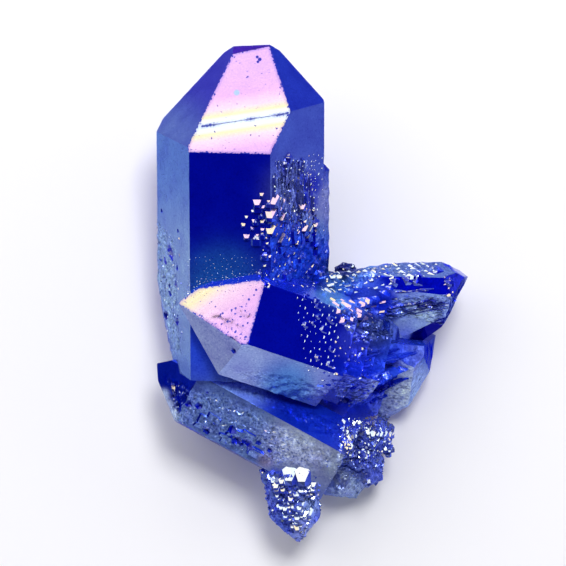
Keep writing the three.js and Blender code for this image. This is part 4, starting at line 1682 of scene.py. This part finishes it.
@dataclass(frozen=True)
class FieldGrower:
    """Grows fields of small crystals on the skin with one tree of geometry nodes.

    Attributes:
        film: the material that dresses them.
        colours: where the film shows which colour.
        widths: how far each prism face of the pattern crystal stands from its axis.
        pushes: how far each termination face is set back from the ideal tip.
        tip: how high that tip stands.
        root: how far the pattern crystal reaches below its own place.
        near: corners of the pattern crystal nearer than this are one corner.
        density: the most crystals a square metre.
    """

    film: bpy.types.Material
    colours: FilmMap
    widths: tuple[float, ...] = (1.0, 0.84, 0.92, 1.0, 0.9, 0.86)
    pushes: tuple[float, ...] = (-0.45, 0.35, 0.05, 0.3, 0.0, 0.38)
    tip: float = 1.1
    root: float = 1.5
    near: float = 1e-4
    density: float = 4e7

    def pattern(self) -> bpy.types.Object:
        """Make the crystal that every field repeats, upright, its tip over its own place.

        Returns:
            The crystal, with a half width of one metre.
        """
        lean = math.radians(Growth.rhomb_angle)
        planes = [(-UP, self.root)]
        for side, (width, push) in enumerate(zip(self.widths, self.pushes)):
            turn = math.radians(SIXTH * side)
            across = np.array([math.cos(turn), math.sin(turn), 0.0])
            cap = across * math.cos(lean) + UP * math.sin(lean)
            planes += [(across, width), (cap, self.tip * math.sin(lean) + push)]
        normals = np.array([normal for normal, _ in planes])
        levels = np.array([level for _, level in planes])
        shape = bmesh.new()
        for three in combinations(range(len(planes)), 3):
            trio = normals[list(three)]
            if abs(np.linalg.det(trio)) > 1e-6:
                corner = np.linalg.solve(trio, levels[list(three)])
                if (normals @ corner < levels + 1e-6).all():
                    shape.verts.new(corner)
        bmesh.ops.remove_doubles(shape, verts=shape.verts, dist=self.near)
        bmesh.ops.convex_hull(shape, input=shape.verts)
        bmesh.ops.recalc_face_normals(shape, faces=shape.faces)
        mesh = bpy.data.meshes.new("pattern_crystal")
        shape.to_mesh(mesh)
        shape.free()
        return bpy.data.objects.new("pattern_crystal", mesh)

    def grow(self, net: Net, fields: tuple[CrystalField, ...]) -> list[bpy.types.Object]:
        """Grow every field and dress it.

        Args:
            net: the triangles that carry the crystals.
            fields: the fields.

        Returns:
            One piece for each field.
        """
        tree = bpy.data.node_groups.new("crystal_field", "GeometryNodeTree")
        FieldTree(tree)
        pattern, pieces = self.pattern(), []
        sockets = {item.name: item.identifier for item in tree.interface.items_tree
                   if item.in_out == "INPUT"}
        for bed in fields:
            patch = net.patch(bed.outline, bed.steepest)
            modifier = patch.modifiers.new("grow", "NODES")
            modifier.node_group = tree
            heading = bed.growth.heading() if bed.growth else Euler((0, 0, 0))
            values = {
                "Crystal": pattern, "Film": self.film, "Spacing": bed.spacing * MM,
                "Density": self.density, "Narrow": bed.width[0] * MM, "Wide": bed.width[1] * MM,
                "Stretch": bed.stretch, "Broad": bed.broad, "Uneven": bed.uneven,
                "Heading": tuple(heading), "Wander": math.radians(bed.wander),
                "Upright": bed.growth is None, "Sunk": bed.sunk, "Seed": bed.seed}
            for name, value in values.items():
                modifier[sockets[name]] = value
            ready = patch.evaluated_get(bpy.context.evaluated_depsgraph_get())
            piece = in_scene(bed.name, bpy.data.meshes.new_from_object(ready))
            bpy.data.objects.remove(patch)
            dress(piece, self.film, self.colours, Coat(order=bed.order, contrast=bed.contrast))
            pieces.append(piece)
        bpy.data.objects.remove(pattern)
        return pieces


@dataclass(frozen=True)
class Lamp:
    """A soft light that faces the cluster.

    Attributes:
        name: its name.
        direction: the way it hangs, seen from the cluster.
        distance: how far away, metres.
        size: its width and height, metres.
        power: its power, watts.
        colour: its colour.
    """

    name: str
    direction: tuple[float, float, float]
    distance: float
    size: tuple[float, float]
    power: float
    colour: Colour = (1.0, 1.0, 1.0)

    def hang(self) -> None:
        """Hang the light."""
        data = bpy.data.lights.new(self.name, "AREA")
        data.shape = "RECTANGLE"
        data.size, data.size_y = self.size
        data.energy, data.color = self.power, self.colour
        light, towards = in_scene(self.name, data), Vector(self.direction).normalized()
        light.location = towards * self.distance
        light.rotation_euler = towards.to_track_quat("Z", "Y").to_euler()


@dataclass(frozen=True)
class Studio:
    """Floor, lights and camera, which aren't part of the cluster.

    Attributes:
        eye: the camera's place, straight above the cluster.
        lens: focal length in millimetres.
        sensor: width of the sensor, millimetres.
        near: the camera sees nothing nearer than this, metres.
        floor_size: the floor's width, metres.
        floor_colour: its colour.
        floor_roughness: its roughness.
        low_glow: the room's glow low down.
        high_glow: its glow from a certain height up.
        high: that height, as the upward share of a direction.
        lamps: the soft lights.
    """

    eye: tuple[float, float, float] = (-0.00414, 0.00194, 0.442)
    lens: float = 195.0
    sensor: float = 36.0
    near: float = 0.01
    floor_size: float = 4.0
    floor_colour: tuple[float, float, float, float] = (0.87, 0.87, 0.88, 1.0)
    floor_roughness: float = 0.9
    low_glow: Colour = (1.25, 1.25, 1.3)
    high_glow: Colour = (0.05, 0.05, 0.08)
    high: float = 0.72
    lamps: tuple[Lamp, ...] = (
        Lamp("window", (-0.33, 0.60, 0.70), 0.7, (0.9, 0.6), 3.1, (1.0, 0.98, 1.0)),
        Lamp("lamp", (0.15, 0.43, 0.88), 0.8, (0.25, 0.25), 4.2),
        Lamp("fill", (0.9, 0.1, 0.33), 0.8, (0.4, 0.3), 0.6))

    def floor(self) -> None:
        """Lay the plain pale floor."""
        bpy.ops.mesh.primitive_plane_add(size=self.floor_size, location=(0, 0, 0))
        floor = bpy.context.object
        floor.name = "floor"
        made = bpy.data.materials.new("floor")
        made.use_nodes = True
        shader = made.node_tree.nodes["Principled BSDF"]
        shader.inputs["Base Color"].default_value = self.floor_colour
        shader.inputs["Roughness"].default_value = self.floor_roughness
        floor.data.materials.append(made)

    def sky(self) -> None:
        """Give the room a soft glow, bright low down and dark overhead."""
        world = bpy.data.worlds.new("room")
        bpy.context.scene.world = world
        world.use_nodes = True
        sheet = Sheet(world.node_tree)
        around = sheet.node("ShaderNodeTexCoord").outputs["Generated"]
        upward = sheet.node("ShaderNodeSeparateXYZ", {0: around}).outputs["Z"]
        glow = sheet.colours(upward, ((0.0, self.low_glow), (self.high, self.high_glow)))
        sheet.feed(world.node_tree.nodes["Background"], {"Color": glow, "Strength": 1.0})

    def camera(self) -> None:
        """Set the camera, looking straight down."""
        data = bpy.data.cameras.new("camera")
        data.lens, data.sensor_width, data.clip_start = self.lens, self.sensor, self.near
        camera = in_scene("camera", data)
        camera.location = self.eye
        bpy.context.scene.camera = camera

    def build(self) -> None:
        """Set up the whole studio."""
        self.floor()
        self.sky()
        for lamp in self.lamps:
            lamp.hang()
        self.camera()
        bpy.context.scene.view_settings.view_transform = "Standard"


def main() -> None:
    """Build the cluster and its studio."""
    logging.basicConfig(level=logging.INFO, format="%(message)s")
    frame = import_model()
    Studio().build()
    film, colours = AuraFilm().material(), FilmMap()
    skin, net = ClusterSkin(film, colours).build(frame["nodes"][NODE])
    for piece in [skin] + FieldGrower(film, colours).grow(net, FIELDS):
        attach(piece, "root")
        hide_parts(NODE)
        log.info("%s: %d faces", piece.name, len(piece.data.polygons))


if __name__ == "__main__":
    main()
